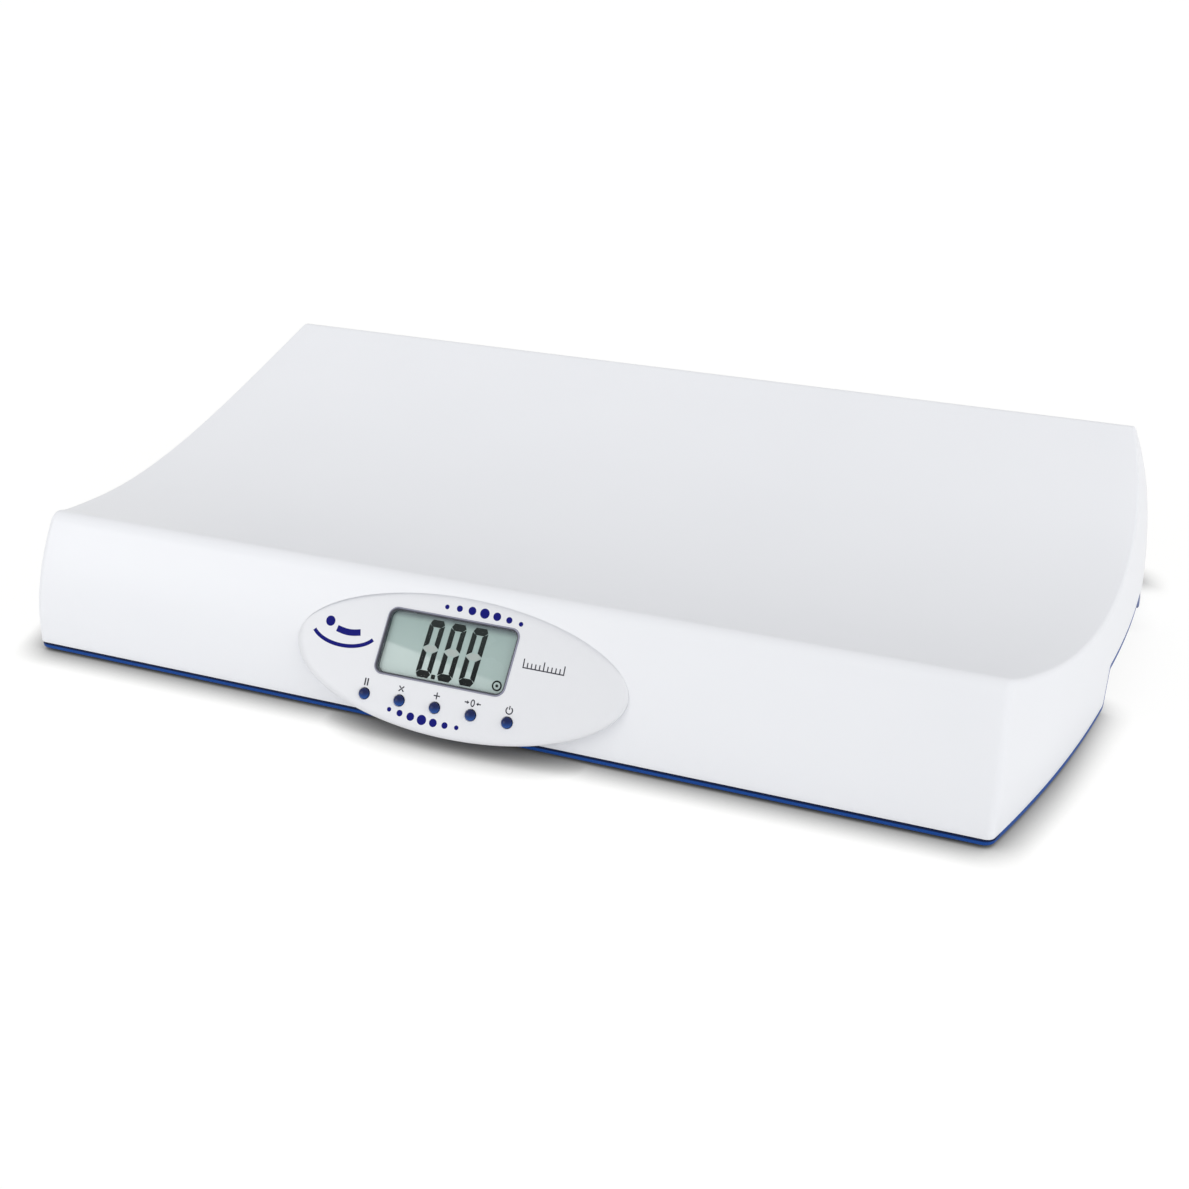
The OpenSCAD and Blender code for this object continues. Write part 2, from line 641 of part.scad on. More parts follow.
// a steel plate whose middle tongue bends: the frame is screwed down, the tongue rests on the foot
module load_cell(f) {
    color(steel) place() translate([f[0], f[1], cell_z]) difference() {
        translate([-cell_len / 2, -cell_wide / 2, 0]) cube([cell_len, cell_wide, cell_t]);
        for (s = [-1, 1]) {
            translate([s * 10 - 1, -cell_wide / 2 + 5, -1]) cube([2, cell_wide - 10, cell_t + 2]);
            translate([s * cell_screw_x, 0, -1]) cylinder(cell_t + 2, r = screw_r + 0.2, $fn = 24);
        }
        translate([-10, cell_wide / 2 - 7, -1]) cube([20, 2, cell_t + 2]);
    }
}
module foot_cap(f) {
    color([0.3, 0.31, 0.33]) place() translate([f[0], f[1], pad_t]) {
        cylinder(base_top + 0.6 - pad_t, r = cap_r, $fn = 64);
        cylinder(cell_z - seat - pad_t, r = 5, $fn = 32);
    }
}
module foot_pad(f) {
    color(dark) place() translate([f[0], f[1], 0]) rotate_extrude($fn = 64)
        polygon([[0, 0], [pad_r - 0.5, 0], [pad_r, 0.5], [pad_r, pad_t - seat / 4], [0, pad_t - seat / 4]]);
}
module load_cell_front_left() { load_cell(feet[0]); }
module load_cell_front_right() { load_cell(feet[1]); }
module load_cell_rear_left() { load_cell(feet[2]); }
module load_cell_rear_right() { load_cell(feet[3]); }
module foot_cap_front_left() { foot_cap(feet[0]); }
module foot_cap_front_right() { foot_cap(feet[1]); }
module foot_cap_rear_left() { foot_cap(feet[2]); }
module foot_cap_rear_right() { foot_cap(feet[3]); }
module foot_pad_front_left() { foot_pad(feet[0]); }
module foot_pad_front_right() { foot_pad(feet[1]); }
module foot_pad_rear_left() { foot_pad(feet[2]); }
module foot_pad_rear_right() { foot_pad(feet[3]); }
module cell_screws() {
    color(screw_steel) place() for (f = feet, s = [-1, 1])
        translate([f[0] + s * cell_screw_x, f[1], cell_z + cell_t + seat / 2]) screw(4);
}
// a four-way lead pressed flat along straight runs on the base's floor, which turns up at its end
module lead(path, up) {
    last = path[len(path) - 1];
    translate([0, 0, base_top + 0.3]) {
        linear_extrude(2 * lead_r) union() {
            for (i = [0:len(path) - 2]) let (d = path[i + 1] - path[i]) translate(path[i])
                rotate(atan2(d[1], d[0])) translate([0, -lead_r]) square([norm(d), 2 * lead_r]);
            for (i = [1:len(path) - 1]) translate(path[i]) circle(lead_r + 0.25, $fn = 24);
        }
        translate([last[0], last[1], 0.1]) cylinder(up, r = lead_r - 0.1, $fn = 24);
    }
}
module cell_leads() {
    rise = panel_z - 0.6 * oval_rise - base_top;
    color([0.7, 0.1, 0.1]) place() for (s = [-1, 1]) {
        start_x = s * (foot_x - cell_len / 2 - 0.3);
        lead([[start_x, foot_front_y + cell_wide / 4], [s * foot_x / 2, foot_front_y + cap_r],
              [oval_x + s * 24, foot_front_y - 8], [oval_x + s * 9, skirt_back + 2]], rise);
        lead([[start_x, foot_back_y - cell_wide / 4], [s * (bay_x + 55), foot_back_y - 50],
              [s * (bay_x + 48), bay_y - 40], [oval_x + s * 18, foot_front_y + 8],
              [oval_x + s * 4, skirt_back + 2]], rise);
    }
}

// ---- case screws and batteries ----

module case_screws() {
    color(screw_steel) place() for (c = columns)
        translate([c[0], c[1], base_z + base_rise - 4 - seat / 2]) rotate([180, 0, 0]) screw(base_rise - 1);
}
// battery i of four: they lie side by side, every second one turned round
function battery_place(i) = [bay_x + (i - 1.5) * battery_pitch, bay_y, battery_z];
function turned(i) = i % 2 == 0 ? 1 : -1;
module battery_cell(i) {
    body = battery_len;
    color([0.2, 0.2, 0.22]) place() translate(battery_place(i)) rotate([-90 * turned(i), 0, 0])
        translate([0, 0, -body / 2 - 0.4]) {
            cylinder(body, r = battery_r, $fn = 48);
            translate([0, 0, body - 0.01]) cylinder(1.3, r = 2.6, $fn = 32);
        }
}
module battery_cell_1() { battery_cell(0); }
module battery_cell_2() { battery_cell(1); }
module battery_cell_3() { battery_cell(2); }
module battery_cell_4() { battery_cell(3); }
// conical springs, drawn as they are with the cells in: each turn lies on the next
module battery_springs() {
    wire = 0.5;
    turns = 4;
    room = bay_l / 2 - battery_len / 2 - 0.4;
    color(steel) place() for (i = [0:3]) translate(battery_place(i)) rotate([90 * turned(i), 0, 0])
        translate([0, 0, battery_len / 2 + 0.4 + seat]) for (k = [0:turns - 1])
            translate([0, 0, wire + k * (room - 2 * seat - 2 * wire) / (turns - 1)]) rotate_extrude($fn = 48)
                translate([2.6 + k * 0.55, 0]) circle(wire + 0.15, $fn = 16);
}
module battery_contacts() {
    tip = battery_len / 2 - 0.4 + 1.3;
    plate = 1.1 * battery_r;
    color(steel) place() for (i = [0:3]) translate(battery_place(i)) rotate([-90 * turned(i), 0, 0])
        translate([-plate / 2, -plate / 2, tip + seat]) cube([plate, plate, bay_l / 2 - tip - 2 * seat]);
}

tray_shell();
base_cover();
display_bezel();
lcd_gasket();
lcd_window();
lcd_panel();
lcd_holder();
lcd_connector();
main_board();
board_parts();
tact_switches();
board_screws();
bezel_screws();
button_hold();
button_memory_clear();
button_memory_add();
button_tare();
button_power();
load_cell_front_left();
load_cell_front_right();
load_cell_rear_left();
load_cell_rear_right();
foot_cap_front_left();
foot_cap_front_right();
foot_cap_rear_left();
foot_cap_rear_right();
foot_pad_front_left();
foot_pad_front_right();
foot_pad_rear_left();
foot_pad_rear_right();
cell_screws();
cell_leads();
case_screws();
battery_door();
battery_cell_1();
battery_cell_2();
battery_cell_3();
battery_cell_4();
battery_springs();
battery_contacts();
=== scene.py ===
import math
import bpy
import numpy as np
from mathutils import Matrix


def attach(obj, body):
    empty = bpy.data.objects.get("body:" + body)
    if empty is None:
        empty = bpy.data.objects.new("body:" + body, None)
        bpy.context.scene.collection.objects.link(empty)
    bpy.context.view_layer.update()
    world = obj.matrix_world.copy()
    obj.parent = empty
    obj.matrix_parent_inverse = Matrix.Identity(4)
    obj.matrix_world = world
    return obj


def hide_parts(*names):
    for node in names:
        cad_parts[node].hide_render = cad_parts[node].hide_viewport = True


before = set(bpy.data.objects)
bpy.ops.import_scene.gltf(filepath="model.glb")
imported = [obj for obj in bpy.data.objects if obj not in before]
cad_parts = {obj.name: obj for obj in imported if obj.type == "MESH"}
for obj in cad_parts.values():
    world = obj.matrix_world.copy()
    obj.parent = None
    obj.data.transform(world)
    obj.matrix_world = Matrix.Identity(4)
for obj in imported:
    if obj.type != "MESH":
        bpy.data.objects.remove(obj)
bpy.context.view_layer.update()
print("frame loaded")

scene = bpy.context.scene
rowShift = np.array([0.0, -162.420292, 5.5])  # from the tray's front lower edge to the row's origin, in mm


# ---- shared mesh work: everything is worked out in mm from the tray's front lower edge ----

def unit(vectors):  # each vector divided by its own length
    return vectors / np.maximum(np.linalg.norm(vectors, axis=-1, keepdims=True), 1e-9)


def gridQuads(rows, columns, first=0, wrapColumns=False):  # a quad joins points j and j+1 of rows i and i+1
    i = np.arange(rows - 1)[:, None]
    j = np.arange(columns if wrapColumns else columns - 1)[None, :]
    a, b = i * columns + j, i * columns + (j + 1) % columns
    return np.stack([a, b, b + columns, a + columns], -1).reshape(-1, 4) + first


def stackedLoops(loops, ring=False):  # k loops of n points: quads between neighbours, then both ends filled
    k, n, _ = loops.shape
    quads = gridQuads(k, n, wrapColumns=True).tolist()
    if ring:  # the last loop joins the first
        last, j = (k - 1) * n, np.arange(n)
        quads += np.stack([last + j, last + (j + 1) % n, (j + 1) % n, j], -1).tolist()
    else:
        quads += [list(range(n))[::-1], list(range((k - 1) * n, k * n))]
    return loops.reshape(-1, 3), quads


def joined(parts):  # several (points, faces) as one
    points, faces, first = [], [], 0
    for somePoints, someFaces in parts:
        points.append(somePoints)
        faces += [[first + index for index in face] for face in someFaces]
        first += len(somePoints)
    return np.concatenate(points), faces


def makeObject(name, points, faces):
    mesh = bpy.data.meshes.new(name)
    mesh.from_pydata(((points + rowShift) * 0.001).tolist(), [], [list(face) for face in faces])
    mesh.update()
    piece = bpy.data.objects.new(name, mesh)
    scene.collection.objects.link(piece)
    return piece


def softShading(mesh, sharpAngle):  # smooth faces, with edges kept sharp where they turn more than the angle
    mesh.polygons.foreach_set("use_smooth", np.ones(len(mesh.polygons), bool))
    mesh.set_sharp_from_angle(angle=math.radians(sharpAngle))


def applyModifiers(piece):  # the finished mesh takes the place of the one with modifiers
    graph = bpy.context.evaluated_depsgraph_get()
    mesh = bpy.data.meshes.new_from_object(piece.evaluated_get(graph), depsgraph=graph)
    piece.modifiers.clear()
    piece.data = mesh


def cutAway(piece, cutters):  # takes closed cutters out of a closed piece
    for cutter in cutters:
        step = piece.modifiers.new("cut", "BOOLEAN")
        step.operation, step.solver, step.object = "DIFFERENCE", "EXACT", cutter


def dropObjects(objects):
    for item in objects:
        bpy.data.objects.remove(item, do_unlink=True)


def finishPiece(piece, material, body="scale_body", replaces=(), sharpAngle=35):
    piece.data.materials.clear()
    piece.data.materials.append(material)
    softShading(piece.data, sharpAngle)
    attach(piece, body)
    if replaces:
        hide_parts(*replaces)
    return piece


def roundedLoop(width, height, radius, count=48):  # four quarter turns about the corners' centres
    quarter = np.linspace(0, math.pi / 2, count // 4)
    turn = (np.arange(4)[:, None] * math.pi / 2 + quarter[None, :]).ravel()
    side = np.repeat(np.array([[1, 1], [-1, 1], [-1, -1], [1, -1]]), count // 4, axis=0)
    arcs = radius * np.stack([np.cos(turn), np.sin(turn)], -1)
    return side * (np.array([width, height]) / 2 - radius) + arcs


def ovalLoop(halfWidth, halfHeight, count=64):  # cosine times one half axis, sine times the other
    turn = np.arange(count) * 2 * math.pi / count
    return np.stack([halfWidth * np.cos(turn), halfHeight * np.sin(turn)], -1)


def raised(flat, heights):  # copies of flat loops (k or 1, n, 2) at k heights
    heights = np.asarray(heights, float)
    flat = np.broadcast_to(flat, (len(heights),) + flat.shape[-2:])
    return np.concatenate([flat, np.broadcast_to(heights[:, None, None], flat.shape[:2] + (1,))], -1)


def roundedCorner(a, b, c, radius, count):
    # arcs that round the corners b between a and c: the centre lies on the bisector at radius over
    # sin(half angle), and the arc starts and ends at radius over tan(half angle) along the two legs
    p, q = unit(a - b), unit(c - b)
    half = np.arccos(np.clip((p * q).sum(-1, keepdims=True), -1, 1)) / 2
    centre = b + unit(p + q) * radius / np.sin(half)
    start = b + p * radius / np.tan(half) - centre
    stop = b + q * radius / np.tan(half) - centre
    mix = np.linspace(0, 1, count)[:, None]
    arms = start[..., None, :] + (stop - start)[..., None, :] * mix
    radius = np.asarray(radius, float)
    return centre[..., None, :] + unit(arms) * (radius[..., None] if radius.ndim else radius)


def flatFacing(piece, direction):  # corners of faces that look along a direction get it as their normal
    mesh = piece.data
    normals = np.zeros(3 * len(mesh.loops))
    mesh.corner_normals.foreach_get("vector", normals)
    faces = np.zeros(3 * len(mesh.polygons))
    mesh.polygons.foreach_get("normal", faces)
    sizes = np.zeros(len(mesh.polygons), int)
    mesh.polygons.foreach_get("loop_total", sizes)
    flat = np.repeat(faces.reshape(-1, 3) @ direction > 0.9995, sizes)
    normals = normals.reshape(-1, 3)
    normals[flat] = direction
    mesh.normals_split_custom_set(normals.tolist())


# ---- materials ----

class Wire:  # a socket that adds Math nodes when it is used in an expression
    def __init__(self, tree, socket):
        self.tree, self.socket = tree, socket

    def node(self, kind, settings={}, inputs={}, output=0):  # any node: its settings first, then its sockets
        made = self.tree.nodes.new(kind)
        for key, value in settings.items():
            if key == "stops":
                ramp = made.color_ramp
                while len(ramp.elements) < len(value):
                    ramp.elements.new(0.5)
                for element, (place, shade) in zip(ramp.elements, value):
                    element.position, element.color = place, shade
            else:
                setattr(made, key, value)
        for key, value in inputs.items():
            if isinstance(value, Wire):
                self.tree.links.new(value.socket, made.inputs[key])
            else:
                made.inputs[key].default_value = value
        return Wire(self.tree, made.outputs[output])

    def math(self, operation, *others):
        return self.node("ShaderNodeMath", {"operation": operation}, dict(enumerate((self,) + others)))

    def __add__(self, other): return self.math("ADD", other)
    def __radd__(self, other): return self.math("ADD", other)
    def __sub__(self, other): return self.math("SUBTRACT", other)
    def __rsub__(self, other): return (self * -1.0).math("ADD", other)
    def __mul__(self, other): return self.math("MULTIPLY", other)
    def __rmul__(self, other): return self.math("MULTIPLY", other)
    def __pow__(self, other): return self.math("POWER", other)

    def between(self, low, high):  # smooth step from 0 at low to 1 at high
        return self.node("ShaderNodeMapRange", {"interpolation_type": "SMOOTHSTEP"},
                         {"Value": self, "From Min": low, "From Max": high})

    def noise(self, scale, detail=3.0, roughness=0.5):
        return self.node("ShaderNodeTexNoise", {}, {"Vector": self, "Scale": scale, "Detail": detail,
                                                    "Roughness": roughness})

    def tint(self, first, second):  # a colour mixed from two by this factor
        return self.node("ShaderNodeMix", {"data_type": "RGBA"}, {"Factor": self, 6: first, 7: second}, 2)

    def axis(self, index):  # one coordinate of a place
        return self.node("ShaderNodeSeparateXYZ", {}, {0: self}, index)

    def bump(self, strength, distance):
        return self.node("ShaderNodeBump", {}, {"Height": self, "Strength": strength, "Distance": distance})


def startMaterial(name):  # a new material, and the place on the object in metres
    material = bpy.data.materials.new(name)
    material.use_nodes = True
    tree = material.node_tree
    tree.nodes.clear()
    place = Wire(tree, tree.nodes.new("ShaderNodeTexCoord").outputs["Object"])
    return material, place


def surfaced(material, shader):  # the material with the shader as its surface
    output = material.node_tree.nodes.new("ShaderNodeOutputMaterial")
    material.node_tree.links.new(shader.socket, output.inputs["Surface"])
    return material


def finishMaterial(material, place, shine=0.5, **sockets):  # one Principled shader with what the sockets name
    names = {key: key[0].upper() + "".join(" " + c if c.isupper() else c for c in key[1:]) for key in sockets}
    shader = place.node("ShaderNodeBsdfPrincipled", {}, {names[key]: value for key, value in sockets.items()})
    shader.socket.node.inputs["Specular IOR Level"].default_value = shine
    return surfaced(material, shader)


finishes = {  # linear colours of moulded pieces and inks, each as a paler and a darker one
    "shellPlastic": ((0.86, 0.872, 0.905, 1), (0.83, 0.843, 0.878, 1)),
    "panelPlastic": ((0.775, 0.785, 0.815, 1), (0.75, 0.76, 0.79, 1)),
    "basePlastic": ((0.012, 0.075, 0.33, 1), (0.008, 0.055, 0.26, 1)),
    "beadPlastic": ((0.012, 0.075, 0.33, 1), (0.008, 0.055, 0.26, 1)),
    "framePlastic": ((0.028, 0.03, 0.05, 1), (0.02, 0.021, 0.036, 1)),
    # the pale lip's colour below is a painted highlight
    "paintedHighlightPlastic": ((0.27, 0.275, 0.36, 1), (0.23, 0.235, 0.32, 1)),
    "innerPlastic": ((0.6, 0.61, 0.62, 1), (0.55, 0.56, 0.57, 1)),
    "footPlastic": ((0.05, 0.052, 0.058, 1), (0.038, 0.04, 0.045, 1)),
    "partPlastic": ((0.02, 0.02, 0.022, 1), (0.014, 0.014, 0.016, 1)),
    "jacketPlastic": ((0.07, 0.075, 0.09, 1), (0.05, 0.055, 0.07, 1)),
    "sheathPlastic": ((0.42, 0.02, 0.02, 1), (0.36, 0.015, 0.015, 1)),
    "navyInk": ((0.004, 0.006, 0.18, 1), (0.003, 0.004, 0.15, 1)),
    "greyInk": ((0.045, 0.045, 0.06, 1), (0.035, 0.035, 0.05, 1)),
    "restingDye": ((0.50, 0.53, 0.52, 1), (0.46, 0.49, 0.48, 1)),
}
shadowLine = {"y": (-0.159, -0.15), "z": (0.0036, 0.0044), "colour": (0.001, 0.008, 0.045, 1)}  # in metres


def mouldedPlastic(name, roughness, grain, grainDepth, coat=0.0, shine=0.5, shadowed=False):
    # cloudy colour from large noise, spark grain from fine noise, and polished spots where the large noise
    # is low; a shadowed one turns nearly black above a height along the front
    colour, darker = finishes[name]
    material, place = startMaterial(name)
    cloud = place.noise(14.0, 2.0)
    fine = place.noise(grain, 2.0, 0.6)
    shade = (cloud * 0.7 + fine * 0.3).tint(darker, colour)
    if shadowed:
        front = 1.0 - place.axis(1).between(*shadowLine["y"])
        shade = (place.axis(2).between(*shadowLine["z"]) * front).tint(shade, shadowLine["colour"])
    return finishMaterial(
        material, place, shine=shine, baseColor=shade,
        roughness=(cloud - 0.5) * 0.06 + (fine - 0.5) * 0.08 + roughness,
        normal=fine.bump(0.25, grainDepth), coatWeight=coat, coatRoughness=0.12)


def rubberMaterial():  # dull black with a fine pitted grain and dusty paler spots
    material, place = startMaterial("footRubber")
    pits, dust = place.noise(1800.0, 3.0, 0.7), place.noise(220.0, 4.0, 0.6)
    shade = dust.between(0.5, 0.8).tint((0.016, 0.016, 0.017, 1), (0.05, 0.049, 0.047, 1))
    return finishMaterial(material, place, baseColor=shade, roughness=dust * 0.15 + 0.68,
                          normal=pits.bump(0.5, 0.00006))


def steelMaterial(name, colour, streaks):  # brushed along X: noise squeezed along the other axes
    material, place = startMaterial(name)
    drawn = place.node("ShaderNodeMapping", {}, {"Vector": place, "Scale": (1.0, streaks, streaks)})
    brush = drawn.noise(160.0, 3.0, 0.65)
    dark = tuple(0.82 * c for c in colour[:3]) + (1,)
    return finishMaterial(material, place, baseColor=brush.tint(dark, colour), metallic=1.0,
                          roughness=brush * 0.16 + 0.22, normal=brush.bump(0.2, 0.00002))


def boardMaterial():  # green solder mask with paler tracks where a brick pattern's joints run
    material, place = startMaterial("circuitBoard")
    tracks = place.node("ShaderNodeTexBrick", {}, {"Vector": place, "Scale": 160.0, "Mortar Size": 0.03,
                                                   "Color1": (0, 0, 0, 1), "Color2": (0, 0, 0, 1),
                                                   "Mortar": (1, 1, 1, 1)}, 1)
    green = tracks.tint((0.01, 0.09, 0.035, 1), (0.03, 0.2, 0.08, 1))
    return finishMaterial(material, place, baseColor=green, roughness=place.noise(600.0) * 0.1 + 0.32,
                          normal=tracks.bump(0.3, 0.00005))


def windowMaterial():  # a clear pane: it lets everything through but what its face mirrors
    material, place = startMaterial("clearWindow")
    smear = place.noise(90.0, 2.0)
    gloss = place.node("ShaderNodeLayerWeight", {}, {"Blend": 0.5}, 1) ** 3.0 * 0.6
    through = place.node("ShaderNodeBsdfTransparent", {}, {"Color": (0.97, 0.985, 0.98, 1)})
    mirror = place.node("ShaderNodeBsdfPrincipled", {}, {"Base Color": (1, 1, 1, 1), "Metallic": 1.0,
                                                         "Roughness": smear * 0.03 + 0.02})
    return surfaced(material, place.node("ShaderNodeMixShader", {}, {0: gloss, 1: through, 2: mirror}))


def displayMaterial():  # grey-green glass with a painted reflection that makes it paler under a slanted line, and the frame's painted shade that makes it darker at the top
    material, place = startMaterial("displayGlass")
    x, z = place.axis(0), place.axis(2)
    cloud = place.noise(60.0, 3.0)
    slant = z + x * 0.13                       # a line of equal values falls to the right
    # painted reflection: the glass is paler under a slanted line, half as strong towards the right
    pale = 1.0 - slant.between(0.0365, 0.0385)
    paintedReflection = pale * (1.0 - x.between(-0.045, 0.03) * 0.5)
    plain = (cloud * 0.3 + z.between(0.038, 0.061)).tint((0.46, 0.545, 0.535, 1), (0.40, 0.49, 0.48, 1))
    # painted shade from the frame: the colour turns dark along the top
    colour = z.between(0.0545, 0.0585).tint(paintedReflection.tint(plain, (0.63, 0.70, 0.69, 1)), (0.16, 0.19, 0.21, 1))
    return finishMaterial(material, place, shine=0.3, baseColor=colour, roughness=cloud * 0.06 + 0.24)


def keyMaterialPaintedShade():  # deep blue keys with painted shade: paler towards their lower edge, darker towards their top
    material, place = startMaterial("keyPlastic")
    fine = place.noise(3000.0, 2.0, 0.6)
    # painted shade: a colour by height, paler low on each key and darker at its top, standing in for light on
    # the dome
    height = place.axis(2).between(0.0182, 0.0226) + fine * 0.04
    shade = height.tint((0.012, 0.085, 0.36, 1), (0.0012, 0.009, 0.075, 1))
    return finishMaterial(material, place, shine=0.25, baseColor=shade, roughness=fine * 0.08 + 0.18,
                          normal=fine.bump(0.25, 0.00001))


def segmentMaterial():  # dark dye of the display's segments, a little mottled and greyer at the top
    material, place = startMaterial("segmentDye")
    mottle = place.noise(900.0, 3.0, 0.6) * 0.3 + place.axis(2).between(0.036, 0.058) * 0.7
    dye = mottle.tint((0.003, 0.004, 0.005, 1), (0.024, 0.03, 0.03, 1))
    return finishMaterial(material, place, shine=0.15, baseColor=dye, roughness=mottle * 0.1 + 0.35)


# the numbers are roughness, the grain's noise scale and its depth in metres
shellPlastic = mouldedPlastic("shellPlastic", 0.36, 2600.0, 0.00004)
panelPlastic = mouldedPlastic("panelPlastic", 0.3, 3200.0, 0.00002)
basePlastic = mouldedPlastic("basePlastic", 0.34, 2200.0, 0.00004, shine=0.2)
beadPlastic = mouldedPlastic("beadPlastic", 0.4, 2200.0, 0.00004, shine=0.12, shadowed=True)
keyPlastic = keyMaterialPaintedShade()
framePlastic = mouldedPlastic("framePlastic", 0.2, 3000.0, 0.00001, coat=0.5)
paintedHighlightPlastic = mouldedPlastic("paintedHighlightPlastic", 0.26, 3000.0, 0.00001, shine=0.6)
innerPlastic = mouldedPlastic("innerPlastic", 0.5, 1800.0, 0.00004)
footPlastic = mouldedPlastic("footPlastic", 0.5, 1800.0, 0.00005)
partPlastic = mouldedPlastic("partPlastic", 0.42, 2500.0, 0.00003)
jacketPlastic = mouldedPlastic("jacketPlastic", 0.3, 1500.0, 0.00001, coat=0.3)
sheathPlastic = mouldedPlastic("sheathPlastic", 0.45, 2500.0, 0.00003)
navyInk = mouldedPlastic("navyInk", 0.5, 4000.0, 0.00001, shine=0.1)
greyInk = mouldedPlastic("greyInk", 0.5, 4000.0, 0.00001, shine=0.1)
footRubber = rubberMaterial()
cellSteel = steelMaterial("cellSteel", (0.62, 0.63, 0.65, 1), 14.0)
springSteel = steelMaterial("springSteel", (0.7, 0.7, 0.71, 1), 6.0)
screwSteel = steelMaterial("screwSteel", (0.55, 0.56, 0.58, 1), 3.0)
circuitBoard = boardMaterial()
clearWindow = windowMaterial()
displayGlass = displayMaterial()
segmentDye = segmentMaterial()
restingDye = mouldedPlastic("restingDye", 0.3, 900.0, 0.00001, shine=0.2)
print("materials made")


# ---- tray ----

tray = {
    "length": 603.0, "depth": 342.0, "endBow": 34.0, "widestAt": 240.0,  # plan outline
    "crestHigh": 72.6, "crestIn": 23.2, "crestRound": 8.0,               # front crest
    "dipSlope": 0.3, "dipRun": 11.0,                                     # extra fall just behind the crest
    "lowHigh": 50.0, "lowAt": 141.0,                                     # lowest line of the trough
    "backHigh": 98.5, "lipRound": 5.0, "leanTop": 17.0, "leanFrom": 18.0,  # back lip and leaning walls
    "wall": 2.8, "rimRound": 0.5, "rimFrom": 12.0, "rimTo": 13.0,  # the rim's ends, in from front and back
    "edgeRound": [(0, 4.5), (55, 5.0), (90, 3.6), (130, 2.2), (330, 2.0), (380, 2.0), (410, 2.6), (500, 5.0)],
    "gripFront": 152.0, "gripBack": 290.0, "gripFrontRun": 5.6, "gripBackRun": 32.0, "gripHigh": 20.4,
}
endRadius = (tray["widestAt"] ** 2 + tray["endBow"] ** 2) / (2 * tray["endBow"])
backAt = tray["depth"] - tray["leanTop"]


def frontIn(z):  # the front wall leans in with the square of the height
    return tray["crestIn"] * (np.maximum(z, 0) / tray["crestHigh"]) ** 2


def leanIn(z):  # the other walls stand upright, then lean in with z times its height over the bend
    bend, back = tray["leanFrom"], tray["backHigh"]
    return np.where(z <= bend, 0, tray["leanTop"] * z * (z - bend) / (back * (back - bend)))


def troughHigh(y):  # a parabola before the lowest line, less a fading dip, and another behind it
    low, at = tray["lowHigh"], tray["lowAt"]
    past = y - tray["crestIn"]
    before = low + (tray["crestHigh"] - low) * ((at - y) / (at - tray["crestIn"])) ** 2
    before = before - tray["dipSlope"] * past * np.exp(-past / tray["dipRun"])
    behind = low + (tray["backHigh"] - low) * ((y - at) / (backAt - at)) ** 2
    return np.where(y < at, before, behind)


def endX(y, z, inset=0.0):  # half chord of a circle that shrinks with the lean, its centre past the middle
    radius = endRadius - inset - leanIn(z)
    return np.sqrt(radius ** 2 - (y - tray["widestAt"]) ** 2) - endRadius + tray["length"] / 2


def sideLine():  # the tray's outline in Y and Z from the front rim over crest, trough and lip to the back rim
    r, lip, high, back = tray["crestRound"], tray["lipRound"], tray["crestHigh"], tray["backHigh"]
    up = np.linspace(0, high - r, 24)
    front = np.stack([frontIn(up), up], -1)
    y0, y1 = tray["crestIn"] + r, backAt - 2 * lip
    crest = roundedCorner(front[-1], np.array([tray["crestIn"], high]), np.array([y0, troughHigh(y0)]), r, 14)
    over = np.linspace(y0, y1, 76)
    trough = np.stack([over, troughHigh(over)], -1)
    down = np.linspace(back - 2 * lip, 0, 30)
    rear = np.stack([tray["depth"] - leanIn(down), down], -1)
    lipArc = roundedCorner(trough[-1], np.array([backAt, back]), rear[0], lip, 12)
    return np.concatenate([front[:-1], crest, trough[1:-1], lipArc, rear[1:]])


def rimLine():  # the ends' lower rim in Y and Z: straight, then up and over the hand grip's rounded arch
    front, back, high = tray["gripFront"], tray["gripBack"], tray["gripHigh"]
    runF, runB = tray["gripFrontRun"], tray["gripBackRun"]
    first, last = tray["rimFrom"], tray["depth"] - tray["rimTo"]
    corners = np.array([[first, 0], [front, 0], [front + runF, high], [back - runB, high], [back, 0],
                        [last, 0]])
    radii, counts = [3.0, 4.0, 9.0, 9.0], [7, 8, 10, 8]
    parts = [np.linspace([first, 0], [front - 6, 0], 40)]
    for k in range(4):
        parts.append(roundedCorner(corners[k], corners[k + 1], corners[k + 2], radii[k], counts[k]))
        if k == 1:
            parts.append(np.linspace([front + runF + 8, high], [back - runB - 8, high], 28))
    parts.append(np.linspace([back + 9, 0], corners[-1], 14))
    return np.concatenate(parts)


def alongLine(line):  # distance of each point from the first, along the line
    return np.concatenate([[0], np.cumsum(np.linalg.norm(np.diff(line, axis=0), axis=1))])


